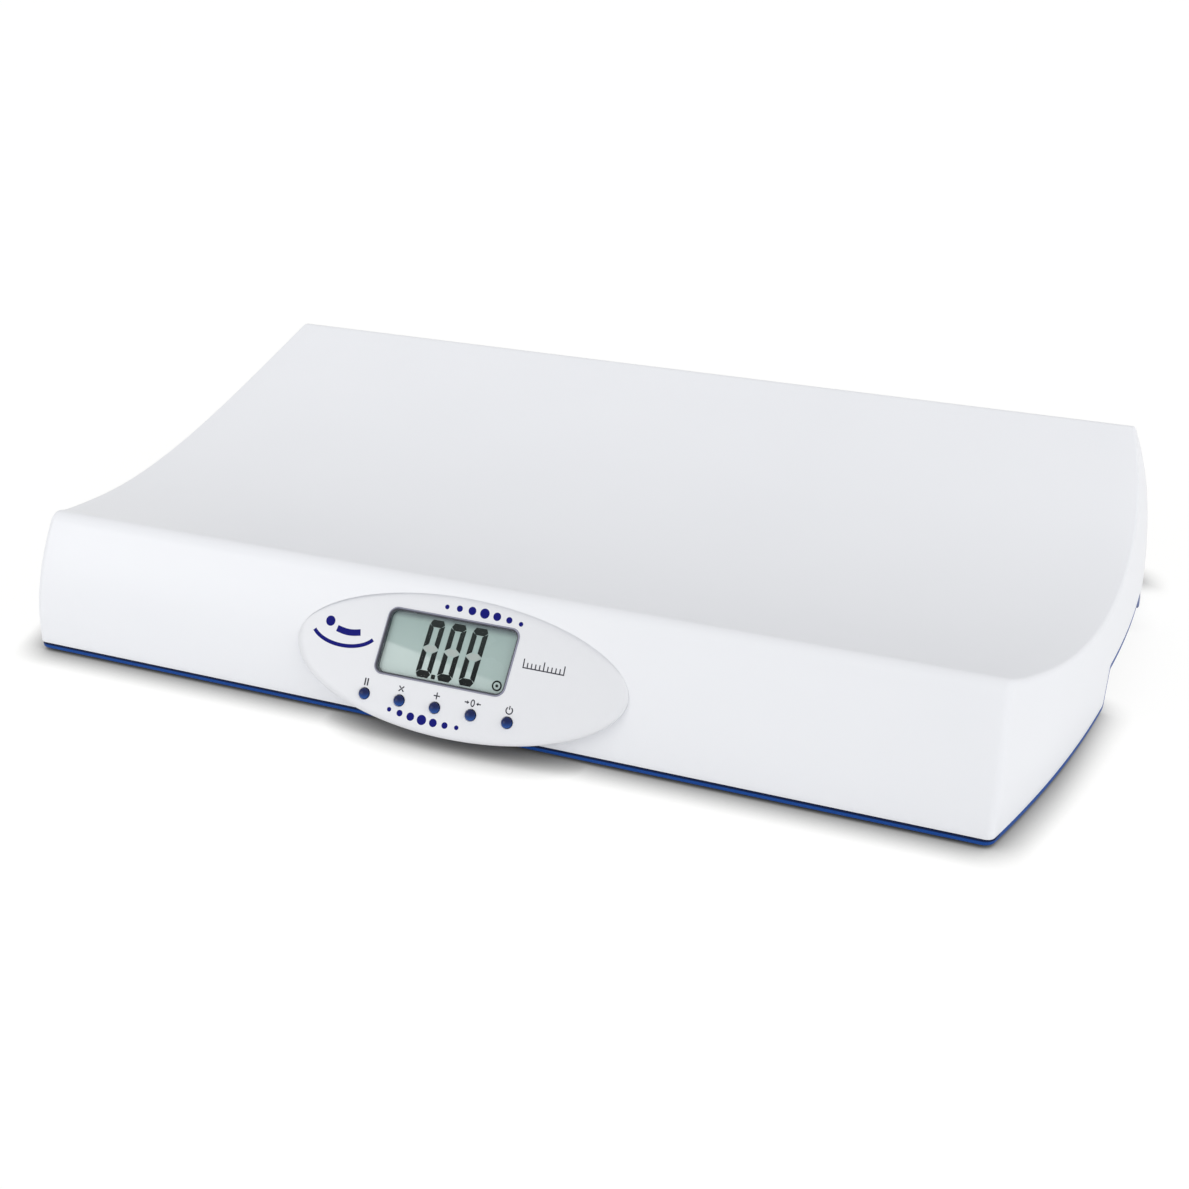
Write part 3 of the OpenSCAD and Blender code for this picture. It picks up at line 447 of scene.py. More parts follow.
def trayRows():  # matching rows of side outline, inward normal, rim under it and edge rounding
    side, rim = sideLine(), rimLine()
    s, t = alongLine(side), alongLine(rim)
    sideAt = lambda y, z: s[np.argmin(np.hypot(side[:, 0] - y, side[:, 1] - z))]
    rimAt = lambda y, z: t[np.argmin(np.hypot(rim[:, 0] - y, rim[:, 1] - z))]
    front, back, high = tray["gripFront"], tray["gripBack"], tray["gripHigh"]
    # places on the side outline, each with the place on the rim that its slice ends at
    pairs = [((0, 0), (tray["rimFrom"], 0)), ((16, 61), (34, 0)), ((34, 68), (50, 0)), ((80, 57), (85, 0)),
             ((front, 50), (front, 0)), ((162, 51), (front + tray["gripFrontRun"], high)),
             ((256, 70), (back - tray["gripBackRun"], high)), ((288, 81), (back, 0)), ((312, 93), (306, 0)),
             ((325, 90), (313, 0)), ((tray["depth"], 0), (tray["depth"] - tray["rimTo"], 0))]
    knotS = np.array([sideAt(*p[0]) for p in pairs])
    knotT = np.array([rimAt(*p[1]) for p in pairs])
    rows = np.unique(np.round(np.concatenate([s, np.interp(t, knotT, knotS)]), 3))
    rows = rows[np.concatenate([[True], np.diff(rows) > 0.35])]
    rows[-1] = s[-1]
    tangent = unit(np.gradient(side, axis=0))
    pick = lambda table, at, x: np.stack([np.interp(x, at, table[:, 0]), np.interp(x, at, table[:, 1])], -1)
    normal = unit(pick(np.stack([tangent[:, 1], -tangent[:, 0]], -1), s, rows))
    normal[0], normal[-1] = (1, 0), (-1, 0)
    rounds = np.array(tray["edgeRound"])
    edge = np.interp(rows, rounds[:, 0], rounds[:, 1])
    return pick(side, s, rows), normal, pick(rim, t, np.interp(rows, knotS, knotT)), edge


def trayGrid(inward):
    # one skin of the tray as a grid: a row is a slice along X, from one end's rim up the end wall, round the
    # edge, across, and down the other end; inward moves the skin into the wall
    line, normal, rim, edge = trayRows()
    line = line + normal * inward
    edge = np.maximum(edge - inward, 0.9)[:, None]
    corner = endX(line[:, 0], line[:, 1], inward)
    probe = line + normal * 4.0
    legDown = np.stack([endX(probe[:, 0], probe[:, 1], inward) - corner, np.full(len(line), 4.0)], -1)
    tip = np.stack([corner, np.zeros(len(line))], -1)
    arc = roundedCorner(tip - [30.0, 0.0], tip, tip + legDown, edge, 8)   # in X and depth under the skin
    arcPoints = np.concatenate([arc[..., :1], line[:, None] + normal[:, None] * arc[..., 1:]], -1)
    across = np.linspace(0, 1, 21)[:-1]
    flat = np.concatenate([arc[:, :1, :1] * across[None, :, None],
                           np.broadcast_to(line[:, None], (len(line), 20, 2))], -1)
    foot = arcPoints[:, -1, 1:]
    mix = np.linspace(0, 1, 17)[1:][None, :, None]
    cap = foot[:, None] + (rim - foot)[:, None] * mix
    cap = np.concatenate([endX(cap[..., 0], cap[..., 1], inward)[..., None], cap], -1)
    right = np.concatenate([flat, arcPoints, cap], 1)
    left = right[:, :0:-1] * np.array([-1.0, 1.0, 1.0])
    return np.concatenate([left, right], 1)


def borderOf(rows, columns):  # indices round a grid's edge, in order
    return np.concatenate([np.arange(columns), np.arange(1, rows) * columns + columns - 1,
                           (rows - 1) * columns + np.arange(columns - 2, -1, -1),
                           np.arange(rows - 2, 0, -1) * columns])


opening = {"halfLong": 93.05, "halfHigh": 31.94, "x": -6.0, "z": 33.4, "back": 29.2, "front": -30.0,
           "cutHalf": 31.0, "cutBelow": 20.0, "cutTo": -4.0}


def panelOpening():  # an oval through the front wall, run out downward where the strip under it is too thin
    oval = ovalLoop(opening["halfLong"], opening["halfHigh"], 144) + [opening["x"], opening["z"]]
    thin = (np.abs(oval[:, 0] - opening["x"]) < opening["cutHalf"]) & (oval[:, 1] < opening["cutBelow"])
    oval[thin, 1] = opening["cutTo"]
    loops = np.stack([np.concatenate([oval, np.full((len(oval), 1), y)], -1)[:, [0, 2, 1]]
                      for y in (opening["back"], opening["front"])])
    return makeObject("panelOpening", *stackedLoops(loops))


def buildTray():
    outer, inner = trayGrid(0.0), trayGrid(tray["wall"])
    rows, columns = outer.shape[:2]
    count = rows * columns
    border = borderOf(rows, columns)
    after = np.roll(border, -1)
    faces = gridQuads(rows, columns).tolist() + gridQuads(rows, columns, count)[:, ::-1].tolist()
    faces += np.stack([border, border + count, after + count, after], -1).tolist()
    piece = makeObject("trayMoulding", np.concatenate([outer.reshape(-1, 3), inner.reshape(-1, 3)]), faces)
    mesh = piece.data
    onRim = np.zeros(2 * count, bool)
    onRim[border] = True
    onRim[border + count] = True
    ends = np.zeros(len(mesh.edges) * 2, int)
    mesh.edges.foreach_get("vertices", ends)
    ends = ends.reshape(-1, 2)
    weight = (onRim[ends].all(1) & ((ends[:, 0] < count) == (ends[:, 1] < count))).astype(np.float32)
    mesh.attributes.new("bevel_weight_edge", "FLOAT", "EDGE").data.foreach_set("value", weight)
    rim = piece.modifiers.new("rim", "BEVEL")
    rim.limit_method, rim.width = "WEIGHT", tray["rimRound"] * 0.001
    rim.segments, rim.use_clamp_overlap = 2, True
    cutter = panelOpening()
    cutAway(piece, [cutter])
    applyModifiers(piece)
    dropObjects([cutter])
    return finishPiece(piece, shellPlastic, replaces=["tray_shell"], sharpAngle=38)


trayPiece = buildTray()
print("tray built,", len(trayPiece.data.polygons), "faces")


# ---- blue bead round the base ----

bead = {"inset": 0.6, "high": 3.2, "middle": -1.9, "swell": 0.5, "deep": 3.0,
        "frontCorner": 6.0, "backCorner": 8.0, "gripInset": 1.9}


def beadPath():  # the base's edge seen in plan, at the bead's middle, with a rise over each grip arch
    inset, y1 = bead["inset"], tray["depth"] - bead["inset"]
    y0, g, e = inset, tray, bead["gripInset"]
    flankF = g["gripFrontRun"] / g["gripHigh"]
    flankB = g["gripBackRun"] / g["gripHigh"]
    slideF, slideB = e * math.hypot(1, flankF), e * math.hypot(1, flankB)
    low, high = bead["middle"], g["gripHigh"] - e
    lineF = lambda z: g["gripFront"] + slideF + flankF * z
    lineB = lambda z: g["gripBack"] - slideB - flankB * z
    corners = np.array([[y0 + 8, low], [lineF(low), low], [lineF(high), high], [lineB(high), high],
                        [lineB(low), low], [y1 - 10, low]])
    walk = [np.linspace(corners[0], corners[1] - [7, 0], 26)]
    for k, r in enumerate([2.5, 2.5, 7.0, 9.0]):
        walk.append(roundedCorner(corners[k], corners[k + 1], corners[k + 2], r, 8))
        if k == 1:
            walk.append(np.linspace(corners[2] + [6, 0], corners[3] - [6, 0], 22))
    walk.append(np.linspace(corners[4] + [8, 0], corners[5], 8))
    walk = np.concatenate(walk)
    side = np.stack([endX(walk[:, 0], np.zeros(len(walk)), inset), walk[:, 0], walk[:, 1]], -1)
    plan = lambda y: np.array([float(endX(np.array(y), np.array(0.0), inset)), y])
    turnF = roundedCorner(np.array([0, y0]), plan(y0), plan(y0 + 12), bead["frontCorner"] - inset, 9)
    turnB = roundedCorner(plan(y1 - 16), plan(y1), np.array([0, y1]), bead["backCorner"] - inset, 9)
    flat = lambda points: np.concatenate([points, np.full((len(points), 1), low)], -1)
    front = np.stack([np.linspace(0, plan(y0)[0] - 12, 30), np.full(30, y0), np.full(30, low)], -1)
    rear = np.stack([np.linspace(plan(y1)[0] - 14, 0, 30), np.full(30, y1), np.full(30, low)], -1)
    right = np.concatenate([front, flat(turnF), side[1:-1], flat(turnB), rear])
    left = right[-2:0:-1] * np.array([-1.0, 1.0, 1.0])
    return np.concatenate([right, left])


def buildBead():
    # a shallow rounded bar along the path: height across it by the cosine of an angle, swell by its sine
    path = beadPath()
    tangent = unit(np.roll(path, -1, 0) - np.roll(path, 1, 0))
    plan = tangent.copy()
    plan[:, 2] = 0
    climbing = np.linalg.norm(plan, axis=1) < 0.25
    outward = unit(np.stack([plan[:, 1], -plan[:, 0], np.zeros(len(path))], -1))
    if climbing.any():
        none = np.zeros(climbing.sum())
        outward[climbing] = unit(np.stack([np.sign(path[climbing, 0]), none, none], -1))
    across = unit(np.cross(outward, tangent))
    turn = np.linspace(0, math.pi, 9)
    up, swell = np.cos(turn) * bead["high"] / 2, np.sin(turn) * bead["swell"]
    up, swell = np.append(up, [-bead["high"] / 2, bead["high"] / 2]), np.append(swell, [-bead["deep"]] * 2)
    loops = path[:, None] + across[:, None] * up[None, :, None] + outward[:, None] * swell[None, :, None]
    piece = makeObject("baseBead", *stackedLoops(loops, ring=True))
    return finishPiece(piece, beadPlastic, sharpAngle=50)


buildBead()
print("bead built")


# ---- display panel: its own frame has u to the right, v up the slope and w out of the face ----

panel = {
    "lean": 31.0, "centre": (-6.0, 2.0, 33.4), "halfLong": 93.0, "halfHigh": 37.2,
    "topReach": 2.0, "endReach": 7.0, "footReach": 4.5, "roundDeepest": 3.4,  # its rounded edge
    "plate": 2.4, "skirt": 2.4, "skirtBack": 14.18, "skirtDepth": 5.5,
}
display = {"width": 74.0, "height": 35.4, "corner": 5.0, "frame": 1.5, "u": -7.0, "v": 7.9, "seat": 1.6,
           "slant": 4.7, "windowTop": -0.2, "windowThick": 1.2, "glassTop": -2.7, "glassThick": 2.6}
keys = {"radius": 2.8, "middle": -7.0, "pitch": 20.2, "v": -21.3, "proud": 2.2, "gap": 0.3, "chamfer": 0.35,
        "bodies": ["button_hold", "button_memory_clear", "button_memory_add", "button_tare", "button_power"]}
lean = math.radians(panel["lean"])
panelAxes = np.array([[1, 0, 0], [0, math.sin(lean), math.cos(lean)], [0, -math.cos(lean), math.sin(lean)]])


def fromPanel(points):  # u, v and w times the panel's three directions, plus its centre
    return points @ panelAxes + np.array(panel["centre"])


def slantedLoop(width, height, radius, count=64):  # a rounded oblong that leans right by tan(slant)
    loop = roundedLoop(width, height, radius, count)
    loop[:, 0] += loop[:, 1] * math.tan(math.radians(display["slant"]))
    return loop + [display["u"], display["v"]]


def keySpot(i):  # the middle of the i-th of the five keys
    return [keys["middle"] + (i - 2) * keys["pitch"], keys["v"]]


def fasciaSkin(inset, plateDrop):
    # half axes shrink by inset, and the face drops by plateDrop: the flat face's rim, a rounded edge as a
    # quarter of an ellipse, and back along the tray's Y to the skirt's end; the wall slides up the slope by
    # tan(lean) for each mm of depth, and the edge drops no further than the face stands out of the wall
    count = 144
    turn = np.arange(count) * 2 * math.pi / count
    cos, sin = np.cos(turn), np.sin(turn)
    a, b = panel["halfLong"] - inset, panel["halfHigh"] - inset / math.cos(lean)
    normal = unit(np.stack([cos / a, sin / b], -1))
    rim = np.stack([a * cos, b * sin], -1)
    place = fromPanel(np.concatenate([rim, np.zeros((count, 1))], -1))
    proud = (frontIn(place[:, 2]) - place[:, 1]) * math.cos(lean)
    deep = np.clip(0.9 * proud, 0.4, panel["roundDeepest"])[:, None]
    reach = np.where(sin > 0, panel["topReach"], panel["footReach"]) * sin ** 2 + panel["endReach"] * cos ** 2
    reach = reach[:, None]
    if inset > 0:
        deep, reach = deep * 0 + 0.8, reach * 0 + 0.8
    loops = []
    for angle in np.linspace(0, math.pi / 2, 10):
        away, depth = reach * (1 - math.sin(angle)), deep * (1 - math.cos(angle))
        flatPlace = rim - normal * away + math.tan(lean) * depth * np.array([0, 1])
        loops.append(np.concatenate([flatPlace, -plateDrop - depth], -1))
    last = loops[-1]
    faceY = fromPanel(last)[:, 1]
    endY = np.maximum(panel["skirtBack"], faceY + panel["skirtDepth"] - 2.0)
    for part in (0.35, 0.7, 1.0):
        run = ((endY - faceY) * part)[:, None]
        loops.append(last + run * np.array([0, math.sin(lean), -math.cos(lean)])[None])
    return np.stack(loops)


def buildFascia():
    loops = np.concatenate([fasciaSkin(0.0, 0.0), fasciaSkin(panel["skirt"], panel["plate"])[::-1]])
    points, faces = stackedLoops(loops)
    piece = makeObject("displayFascia", fromPanel(points), [face[::-1] for face in faces])
    w, h, corner, step = display["width"], display["height"], display["corner"], -display["seat"]
    seat, ledge = 0.1, -0.5
    window = [slantedLoop(w + 2 * g, h + 2 * g, corner + g) for g in (ledge, ledge, seat, seat)]
    holes = [raised(np.stack(window), [-6, step, step, 1.0])]
    for i in range(5):
        r = keys["radius"] + keys["gap"]
        wide = r + keys["chamfer"]
        hole = raised(np.stack([ovalLoop(q, q, 48) for q in (r, r, wide, wide)]), [-5, -0.2, 0.12, 1.0])
        hole[..., :2] += keySpot(i)
        holes.append(hole)
    shapes = [stackedLoops(hole) for hole in holes]
    cutters = [makeObject("cutter", fromPanel(spots), sides) for spots, sides in shapes]
    cutAway(piece, cutters)
    applyModifiers(piece)
    dropObjects(cutters)
    finishPiece(piece, panelPlastic, replaces=["display_bezel"], sharpAngle=30)
    flatFacing(piece, panelAxes[2])
    return piece


def ringBar(bar):  # a bar round the slanted oblong: each point of its outline grows the oblong, at a height
    w, h, r = display["width"], display["height"], display["corner"]
    loops = np.stack([raised(slantedLoop(w + 2 * g, h + 2 * g, r + g * 0.8), [high])[0] for g, high in bar])
    points, faces = stackedLoops(loops, ring=True)
    return fromPanel(points), faces


def buildDisplayFrame():  # a dark rounded bar down to the glass, and a thin pale lip round its outside whose paler colour is a painted highlight on the frame's edge
    w, down = display["frame"], display["glassTop"] + 0.05
    bar = [[-0.6, -1.4], [-0.6, 0.36], [-0.75, 0.42], [-0.95, 0.36], [-w + 0.15, -0.1], [-w, -0.5],
           [-w, down], [-w + 0.6, down], [-w + 0.6, -1.4]]
    # painted highlight: the pale lip stands for light caught along the frame's outer edge
    lip = [[0.05, -1.4], [0.05, 0.05], [-0.05, 0.3], [-0.22, 0.42], [-0.42, 0.44], [-0.6, 0.34], [-0.6, -1.4]]
    finishPiece(makeObject("displayFrame", *ringBar(bar)), framePlastic,
                replaces=["lcd_gasket"], sharpAngle=50)
    finishPiece(makeObject("displayPaintedHighlight", *ringBar(lip)), paintedHighlightPlastic, sharpAngle=50)


def buildPane(name, inset, top, thick, bevel, material, node):  # a slanted plate with a bevelled edge
    w, h, r = display["width"] - 2 * inset, display["height"] - 2 * inset, display["corner"] - inset
    loops = np.stack([raised(slantedLoop(w - 2 * g, h - 2 * g, r), [high])[0]
                      for g, high in [(0, top - thick), (0, top - bevel), (bevel, top)]])
    points, faces = stackedLoops(loops)
    piece = makeObject(name, fromPanel(points), faces)
    return finishPiece(piece, material, replaces=[node], sharpAngle=30)


def buildKey(i):  # a profile turned about w: stem, flange, nub and dome
    body = keys["bodies"][i]
    r, proud = keys["radius"], keys["proud"]
    rise = np.linspace(0, math.pi / 2, 15)
    dome = np.stack([r * np.cos(rise) ** 0.9, 0.45 + (proud - 0.45) * np.sin(rise)], -1)[:-1]
    rest = np.array([[0.25, -4.0], [1.5, -4.0], [1.5, -3.7], [4.5, -3.7], [4.5, -2.7], [r, -2.7]])
    profile = np.concatenate([rest, dome, [[0.25, proud - 0.003], [0.02, proud]]])
    loops = raised(np.stack([ovalLoop(q, q, 56) for q, _ in profile]), profile[:, 1])
    loops[..., :2] += keySpot(i)
    points, faces = stackedLoops(loops)
    piece = makeObject("key_" + body[7:], fromPanel(points), faces)
    return finishPiece(piece, keyPlastic, body=body, replaces=[body], sharpAngle=40)


fascia = buildFascia()
buildDisplayFrame()
buildPane("displayWindow", 1.7, display["windowTop"], display["windowThick"], 0.15,
          clearWindow, "lcd_window")
buildPane("displayPane", 1.2, display["glassTop"], display["glassThick"], 0.3,
          displayGlass, "lcd_panel")
for keyIndex in range(5):
    buildKey(keyIndex)
print("display panel built,", len(fascia.data.polygons), "faces in the fascia")


# ---- display digits and printed marks: flat shapes with a hair of thickness ----

digits = {"width": 8.7, "height": 30.2, "flat": 3.8, "bar": 2.8, "gap": 0.4, "restHalf": 1.75,
          "slant": 5.7, "pitch": 12.2, "left": -22.9, "bottom": -7.5, "thick": 0.03}


def segmentShapes():  # the six lit bars of a nought and the middle bar that is off
    w, h, f, t, g = digits["width"], digits["height"], digits["flat"], digits["bar"], digits["gap"]
    half = h / 2

    def lying(y, s):  # a bar on the line y that grows inward by s
        tip, inner = y + s * f * 0.55, y + s * f
        return [[0.2, tip], [1.5, y], [w - 1.5, y], [w - 0.2, tip], [w - 2.0, inner], [2.0, inner]]

    def standing(x, s, y, way):  # from the lying bar at y towards the middle, which lies the given way
        ends = [y + way * (f * 0.55 + g), y + way * (f + g + 0.1), half - way * (1.85 + g), half - way * g]
        return [[x, ends[0]], [x + s * t, ends[1]], [x + s * t, ends[2]], [x, ends[3]]]

    lit = [lying(0, 1), lying(h, -1)]
    for x, s in ((0, 1), (w, -1)):
        lit += [standing(x, s, 0, 1), standing(x, s, h, -1)]
    up, down = half + digits["restHalf"], half - digits["restHalf"]
    off = [[0.3, half], [2.0, up], [w - 2.0, up], [w - 0.3, half], [w - 2.0, down], [2.0, down]]
    return [np.array(shape) for shape in lit], np.array(off)


def turnedLeft(shape):  # the same outline, counter-clockwise
    x, y = shape[:, 0], shape[:, 1]
    area = (x * np.roll(y, -1) - np.roll(x, -1) * y).sum()
    return shape if area > 0 else shape[::-1]


def slab(shape, low, thick):  # a flat outline with a bottom and a top
    return stackedLoops(raised(turnedLeft(shape), [low, low + thick]))


def flatPiece(name, parts, material, scale=1.0):  # flat parts as one piece on the panel's face
    points, faces = joined(parts)
    points[:, :2] *= scale
    return finishPiece(makeObject(name, fromPanel(points), faces), material, sharpAngle=30)


def buildDigits():
    low, thick = display["glassTop"] + 0.02, digits["thick"]
    lit, off = segmentShapes()

    def leaned(shape, d):  # the d-th figure's place, leaned right by tan(slant) of the height
        right = shape[:, 1] * math.tan(math.radians(digits["slant"])) + digits["left"] + d * digits["pitch"]
        return shape + np.stack([right, np.full(len(shape), digits["bottom"])], -1)

    parts = [slab(leaned(shape, d), low, thick) for d in range(3) for shape in lit]
    dot = roundedLoop(2.3, 2.3, 0.3, 16) + [digits["left"] + 10.4, digits["bottom"] + 1.3]
    parts.append(slab(dot, low, thick))
    # a small steady mark in the corner of the display: a ring with a dot
    corner = np.array([23.0, digits["bottom"] + 3.2])
    parts.append(ringSlab(corner, 2.3, 0.85, low, thick))
    parts.append(slab(ovalLoop(0.8, 0.8, 24) + corner, low, thick))
    flatPiece("displayDigits", parts, segmentDye)
    resting = [slab(leaned(off, d), low, thick) for d in range(3)]
    flatPiece("restingBars", resting, restingDye)


def ringSlab(centre, radius, width, low, thick, start=0.0, stop=360.0, count=40):
    # a flat band along an arc: both its edges at once, then its four faces carried round
    turn = np.radians(np.linspace(start, stop, count))
    spoke = np.stack([np.cos(turn), np.sin(turn)], -1)
    inner, outer = centre + spoke * (radius - width / 2), centre + spoke * (radius + width / 2)
    return bandSlab(outer, inner, low, thick)


def bandSlab(right, left, low, thick):  # a flat band between two lines of points
    edges = ((right, low), (right, low + thick), (left, low + thick), (left, low))
    loops = np.stack([np.concatenate([line, np.full((len(line), 1), high)], -1) for line, high in edges], 1)
    k = len(right)
    quads = gridQuads(k, 4, wrapColumns=True).tolist()
    quads += [[3, 2, 1, 0], [4 * k - 4, 4 * k - 3, 4 * k - 2, 4 * k - 1]]
    return loops.reshape(-1, 3), quads


def strokeSlab(path, width, low, thick):  # a band of even width along a line of points
    path = np.asarray(path, float)
    tangent = unit(np.gradient(path, axis=0))
    side = np.stack([tangent[:, 1], -tangent[:, 0]], -1) * width / 2
    return bandSlab(path + side, path - side, low, thick)


marks = {"low": 0.012, "thick": 0.028, "iconRow": -15.2, "iconScale": 1.25, "iconSize": 1.55, "stroke": 0.5,
         "dotTop": 83, "dotFoot": 261, "dotLargest": 2.6, "dotShrink": 1.4,  # middle angles, and radii
         "cradle": (-66.0, 6.5), "tickFrom": 36.0, "tickPitch": 2.2, "tickFoot": 7.5, "tickWidth": 0.6}


def buildKeyIcons():  # hold, clear, add, zero and on: one plain sign over each key
    low, thick, s, w = (marks[key] for key in ("low", "thick", "iconSize", "stroke"))
    spots = [np.array([keySpot(i)[0], marks["iconRow"]]) / marks["iconScale"] for i in range(5)]
    bar = lambda a, b, at, width=w: strokeSlab(np.linspace(a, b, 2) + at, width, low, thick)
    parts = [bar([-0.6, -s], [-0.6, s], spots[0], 0.62), bar([0.6, -s], [0.6, s], spots[0], 0.62)]
    parts += [bar([-1.1, -1.1], [1.1, 1.1], spots[1]), bar([-1.1, 1.1], [-0.25, 0.25], spots[1]),
              bar([0.25, -0.25], [1.1, -1.1], spots[1])]
    parts += [bar([-1.4, 0], [1.4, 0], spots[2]), bar([0, 0.24], [0, 1.4], spots[2]),
              bar([0, -1.4], [0, -0.24], spots[2])]
    zero = ovalLoop(0.95, s, 40)
    zero = np.vstack([zero, zero[:1]])
    parts.append(bandSlab(zero + spots[3], zero * [0.5, 0.68] + spots[3], low, thick))
    for way in (-1, 1):
        parts.append(bar([way * 3.6, 0], [way * 2.5, 0], spots[3]))
        head = np.array([[way * 1.5, 0], [way * 2.5, 0.75], [way * 2.5, -0.75]])
        parts.append(slab(head + spots[3], low, thick))
    parts.append(ringSlab(spots[4], 1.4, w, low, thick, 122, 418, 48))
    parts.append(bar([0, 0.35], [0, 1.9], spots[4]))
    flatPiece("keyIcons", parts, greyInk, marks["iconScale"])


def buildPanelMarks():
    # navy dots that follow the oval's edge above and below, smaller away from the middle, a cradle sign on
    # the left, and a row of ticks on the right
    low, thick = marks["low"], marks["thick"]
    parts = []
    for middle, spread, drawnIn in ((marks["dotTop"], 15, 6.8), (marks["dotFoot"], 14, 8.2)):
        for k in np.linspace(-1, 1, 7):
            turn = math.radians(middle + k * spread)
            size = marks["dotLargest"] - marks["dotShrink"] * abs(k)
            spot = [(panel["halfLong"] - 12) * math.cos(turn), (panel["halfHigh"] - drawnIn) * math.sin(turn)]
            parts.append(slab(ovalLoop(size, size, 32) + spot, low, thick))
    at = np.array(marks["cradle"])
    sweep = np.radians(np.linspace(205, 335, 40))
    rocker = np.stack([19 * np.cos(sweep), 10 * np.sin(sweep) + 4.2], -1)
    parts.append(strokeSlab(rocker + at, 2.0, low, thick))
    parts.append(slab(ovalLoop(2.7, 2.7, 32) + at + [-9.0, 5.6], low, thick))
    lying = np.stack([np.linspace(-4.4, 9.4, 16), 2.5 - 1.0 * np.sin(np.linspace(0, math.pi, 16))], -1)
    parts.append(strokeSlab(lying + at, 3.4, low, thick))
    flatPiece("panelMarks", parts, navyInk)
    ticks = []
    foot, width = marks["tickFoot"], marks["tickWidth"]
    for k in range(11):
        long = 4.2 if k % 5 == 0 else 2.4
        x = marks["tickFrom"] + marks["tickPitch"] * k
        ticks.append(strokeSlab([[x, foot], [x, foot + long]], width, low, thick))
    half = width / 2
    line = [[marks["tickFrom"] - half, foot - half], [x + half, foot - half]]
    ticks.append(strokeSlab(line, width, low, thick))
    flatPiece("panelTicks", ticks, greyInk)


buildDigits()
buildKeyIcons()
buildPanelMarks()
print("digits and marks built")


# ---- finishes of the pieces that stay as they were built ----

nodeFinish = {
    "base_cover": basePlastic, "battery_door": basePlastic,
    "lcd_holder": innerPlastic, "lcd_connector": footRubber, "main_board": circuitBoard,
    "board_parts": partPlastic, "tact_switches": partPlastic,
    "board_screws": screwSteel, "bezel_screws": screwSteel, "case_screws": screwSteel,
    "cell_screws": screwSteel, "cell_leads": sheathPlastic,
    "battery_springs": springSteel, "battery_contacts": springSteel,
}
for spot in ("front_left", "front_right", "rear_left", "rear_right"):
    nodeFinish["load_cell_" + spot] = cellSteel
    nodeFinish["foot_cap_" + spot] = footPlastic
    nodeFinish["foot_pad_" + spot] = footRubber
for number in range(1, 5):
    nodeFinish["battery_cell_%d" % number] = jacketPlastic
for name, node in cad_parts.items():
    if name in nodeFinish:
        node.data.materials.clear()
        node.data.materials.append(nodeFinish[name])
print("finishes set on", len(nodeFinish), "pieces")


# ---- floor, backdrop, lamps and camera ----

studio = {
    "floorColour": 0.84, "floorSeen": 0.15, "floorGlow": 0.885,
    "contactReach": 0.018, "contactPower": 1.8, "rightFade": 0.5,       # the shade under the object
    "skyLight": 0.74, "lowLight": 0.51, "spread": 4.0,                  # overhead, low, and the glows' power
    "frontLight": 0.66, "frontFrom": (-0.4, -0.91, 0.04),
    "sideLight": 1.9, "sideFrom": (0.993, -0.107, 0.053),
    "backLamp": 0.15, "backFrom": (0.05, 0.5, 0.87), "backSoft": 20.0, "backDim": 0.7,
    "keyPower": 3.0, "keyPlace": (-1.0, -1.2, 0.6), "keySize": 0.8,
}


def floorMaterial():
    # a pale floor that lights the object evenly; the camera and mirrors see it lifted to white, and darker
    # where the object stands close over it, less so beside the right end
    material, place = startMaterial("paleFloor")
    path = place.node("ShaderNodeLightPath", output="Is Camera Ray")
    seen = path.math("MAXIMUM", Wire(path.tree, path.socket.node.outputs["Is Glossy Ray"]))
    c, d = studio["floorColour"], studio["floorSeen"]
    matte = path.node("ShaderNodeBsdfDiffuse", {}, {"Color": (c, c, c * 0.995, 1)})
    seenMatte = path.node("ShaderNodeBsdfDiffuse", {}, {"Color": (d, d, d * 0.99, 1)})
    reach = {"Distance": studio["contactReach"]}
    openness = path.node("ShaderNodeAmbientOcclusion", {"samples": 16}, reach, 1)
    x, y = place.axis(0), place.axis(1)
    behind = y.between(0.05, 0.12) * (1.0 - y.between(0.15, 0.18)) * x.between(0.1, 0.25)
    clear = behind.math("MAXIMUM", x.between(0.285, 0.31) * studio["rightFade"])
    shade = (1.0 - openness ** studio["contactPower"]) * (1.0 - clear)
    colour = shade.tint((1, 1, 0.995, 1), (0, 0, 0, 1))
    glow = path.node("ShaderNodeEmission", {}, {"Strength": studio["floorGlow"], "Color": colour})
    lifted = path.node("ShaderNodeAddShader", {}, {0: seenMatte, 1: glow})
    return surfaced(material, path.node("ShaderNodeMixShader", {}, {0: seen, 1: matte, 2: lifted}))


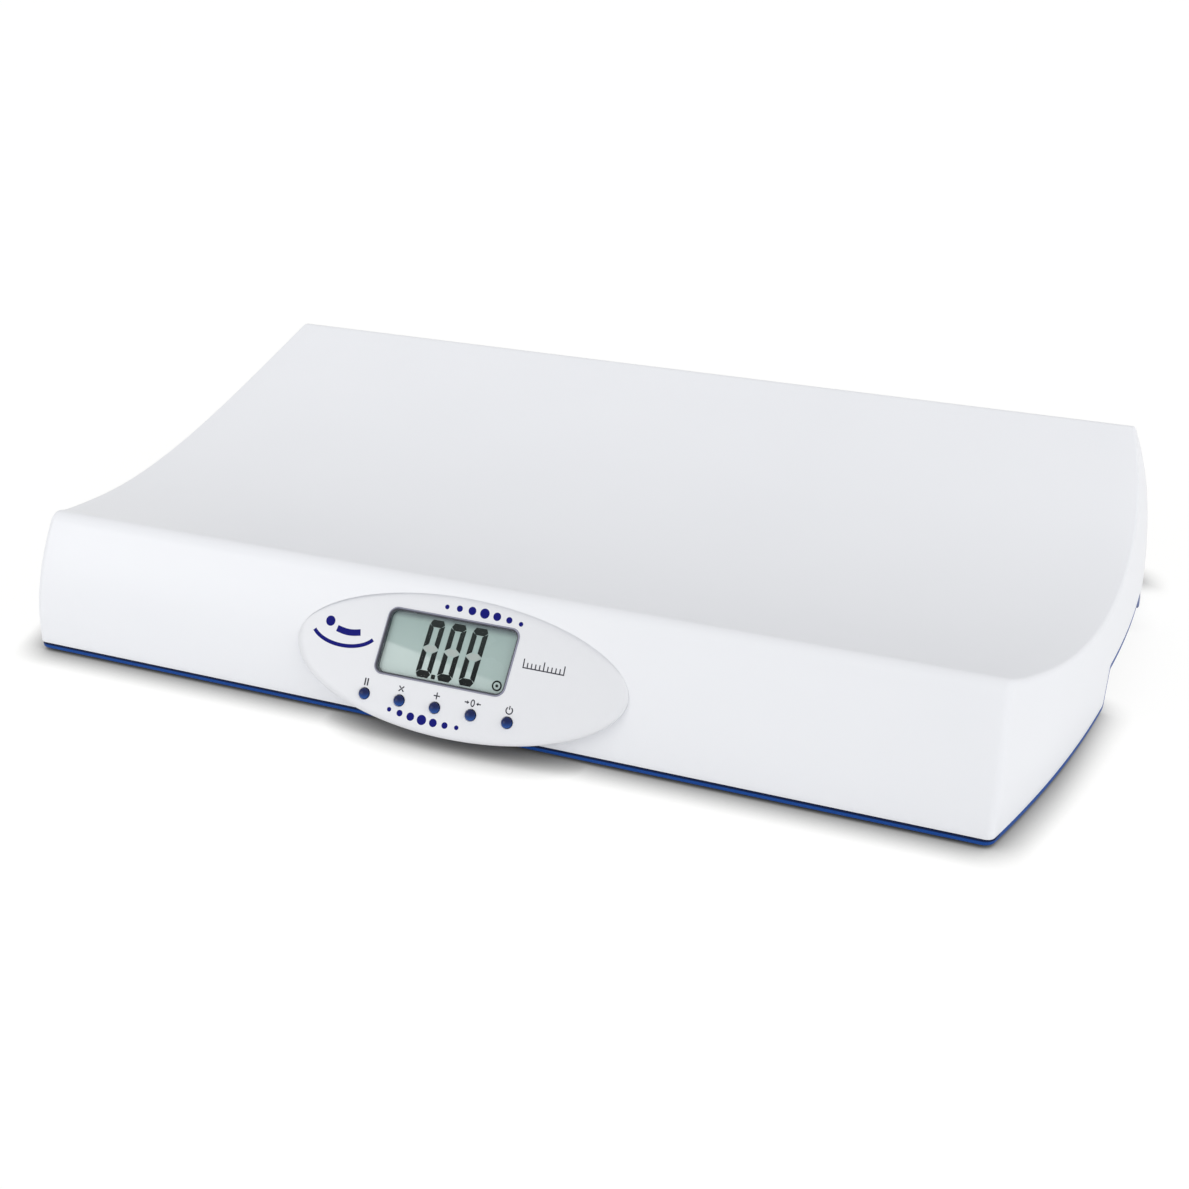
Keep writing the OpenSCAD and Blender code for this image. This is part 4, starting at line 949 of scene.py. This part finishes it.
def buildStudio():
    mesh = bpy.data.meshes.new("floor")
    mesh.from_pydata([(-6, -6, 0), (6, -6, 0), (6, 6, 0), (-6, 6, 0)], [], [(0, 1, 2, 3)])
    floor = bpy.data.objects.new("floor", mesh)
    scene.collection.objects.link(floor)
    mesh.materials.append(floorMaterial())
    world = bpy.data.worlds.new("studioLight")
    scene.world = world
    world.use_nodes = True
    tree = world.node_tree
    tree.nodes.clear()
    toSky = Wire(tree, tree.nodes.new("ShaderNodeTexCoord").outputs["Generated"])
    paths = tree.nodes.new("ShaderNodeLightPath").outputs
    seen = Wire(tree, paths["Is Camera Ray"])
    for other in ("Is Glossy Ray", "Is Transmission Ray"):
        seen = seen.math("MAXIMUM", Wire(tree, paths[other]))

    def glow(source):  # a power of how far the direction turns towards the source, 0 behind it
        facing = toSky.node("ShaderNodeVectorMath", {"operation": "DOT_PRODUCT"}, {0: toSky, 1: source}, 1)
        return facing.math("MAXIMUM", 0.0) ** studio["spread"]

    light = toSky.axis(2).between(0.0, 0.8) * (studio["skyLight"] - studio["lowLight"]) + studio["lowLight"]
    light = light * (1.0 - toSky.axis(1).math("MAXIMUM", 0.0) * studio["backDim"])
    light = light + glow(studio["frontFrom"]) * studio["frontLight"]
    light = light + glow(studio["sideFrom"]) * studio["sideLight"]
    sky = toSky.node("ShaderNodeBackground", {}, {"Color": seen + (1.0 - seen) * light, "Strength": 1.0})
    output = tree.nodes.new("ShaderNodeOutputWorld")
    tree.links.new(sky.socket, output.inputs["Surface"])


def addLamp(name, kind, place, settings):  # a lamp at a place, turned to the middle of the row
    data = bpy.data.lights.new(name, kind)
    for key, value in settings.items():
        setattr(data, key, value)
    lamp = bpy.data.objects.new(name, data)
    scene.collection.objects.link(lamp)
    x, y, z = place
    lamp.location = place
    lamp.rotation_euler = (math.atan2(math.hypot(x, y), z), 0, math.atan2(y, x) + math.pi / 2)


buildStudio()
addLamp("keyLamp", "AREA", studio["keyPlace"],
        {"shape": "DISK", "size": studio["keySize"], "energy": studio["keyPower"]})
addLamp("backLamp", "SUN", studio["backFrom"],
        {"energy": studio["backLamp"], "angle": math.radians(studio["backSoft"])})

# lens, sensor and nearest distance; place in metres; tilt up from straight down and turn, in degrees
view = {"lens": 52.33, "sensor": 36.0, "near": 0.02,
        "place": (0.3548, -0.8495, 0.4431), "tilt": 64.91, "turn": 22.45}
cameraData = bpy.data.cameras.new("photoCamera")
cameraData.lens, cameraData.sensor_width, cameraData.clip_start = view["lens"], view["sensor"], view["near"]
camera = bpy.data.objects.new("photoCamera", cameraData)
scene.collection.objects.link(camera)
camera.location = view["place"]
camera.rotation_euler = (math.radians(view["tilt"]), 0, math.radians(view["turn"]))
scene.camera = camera
scene.view_settings.view_transform = "Standard"
print("studio and camera set")
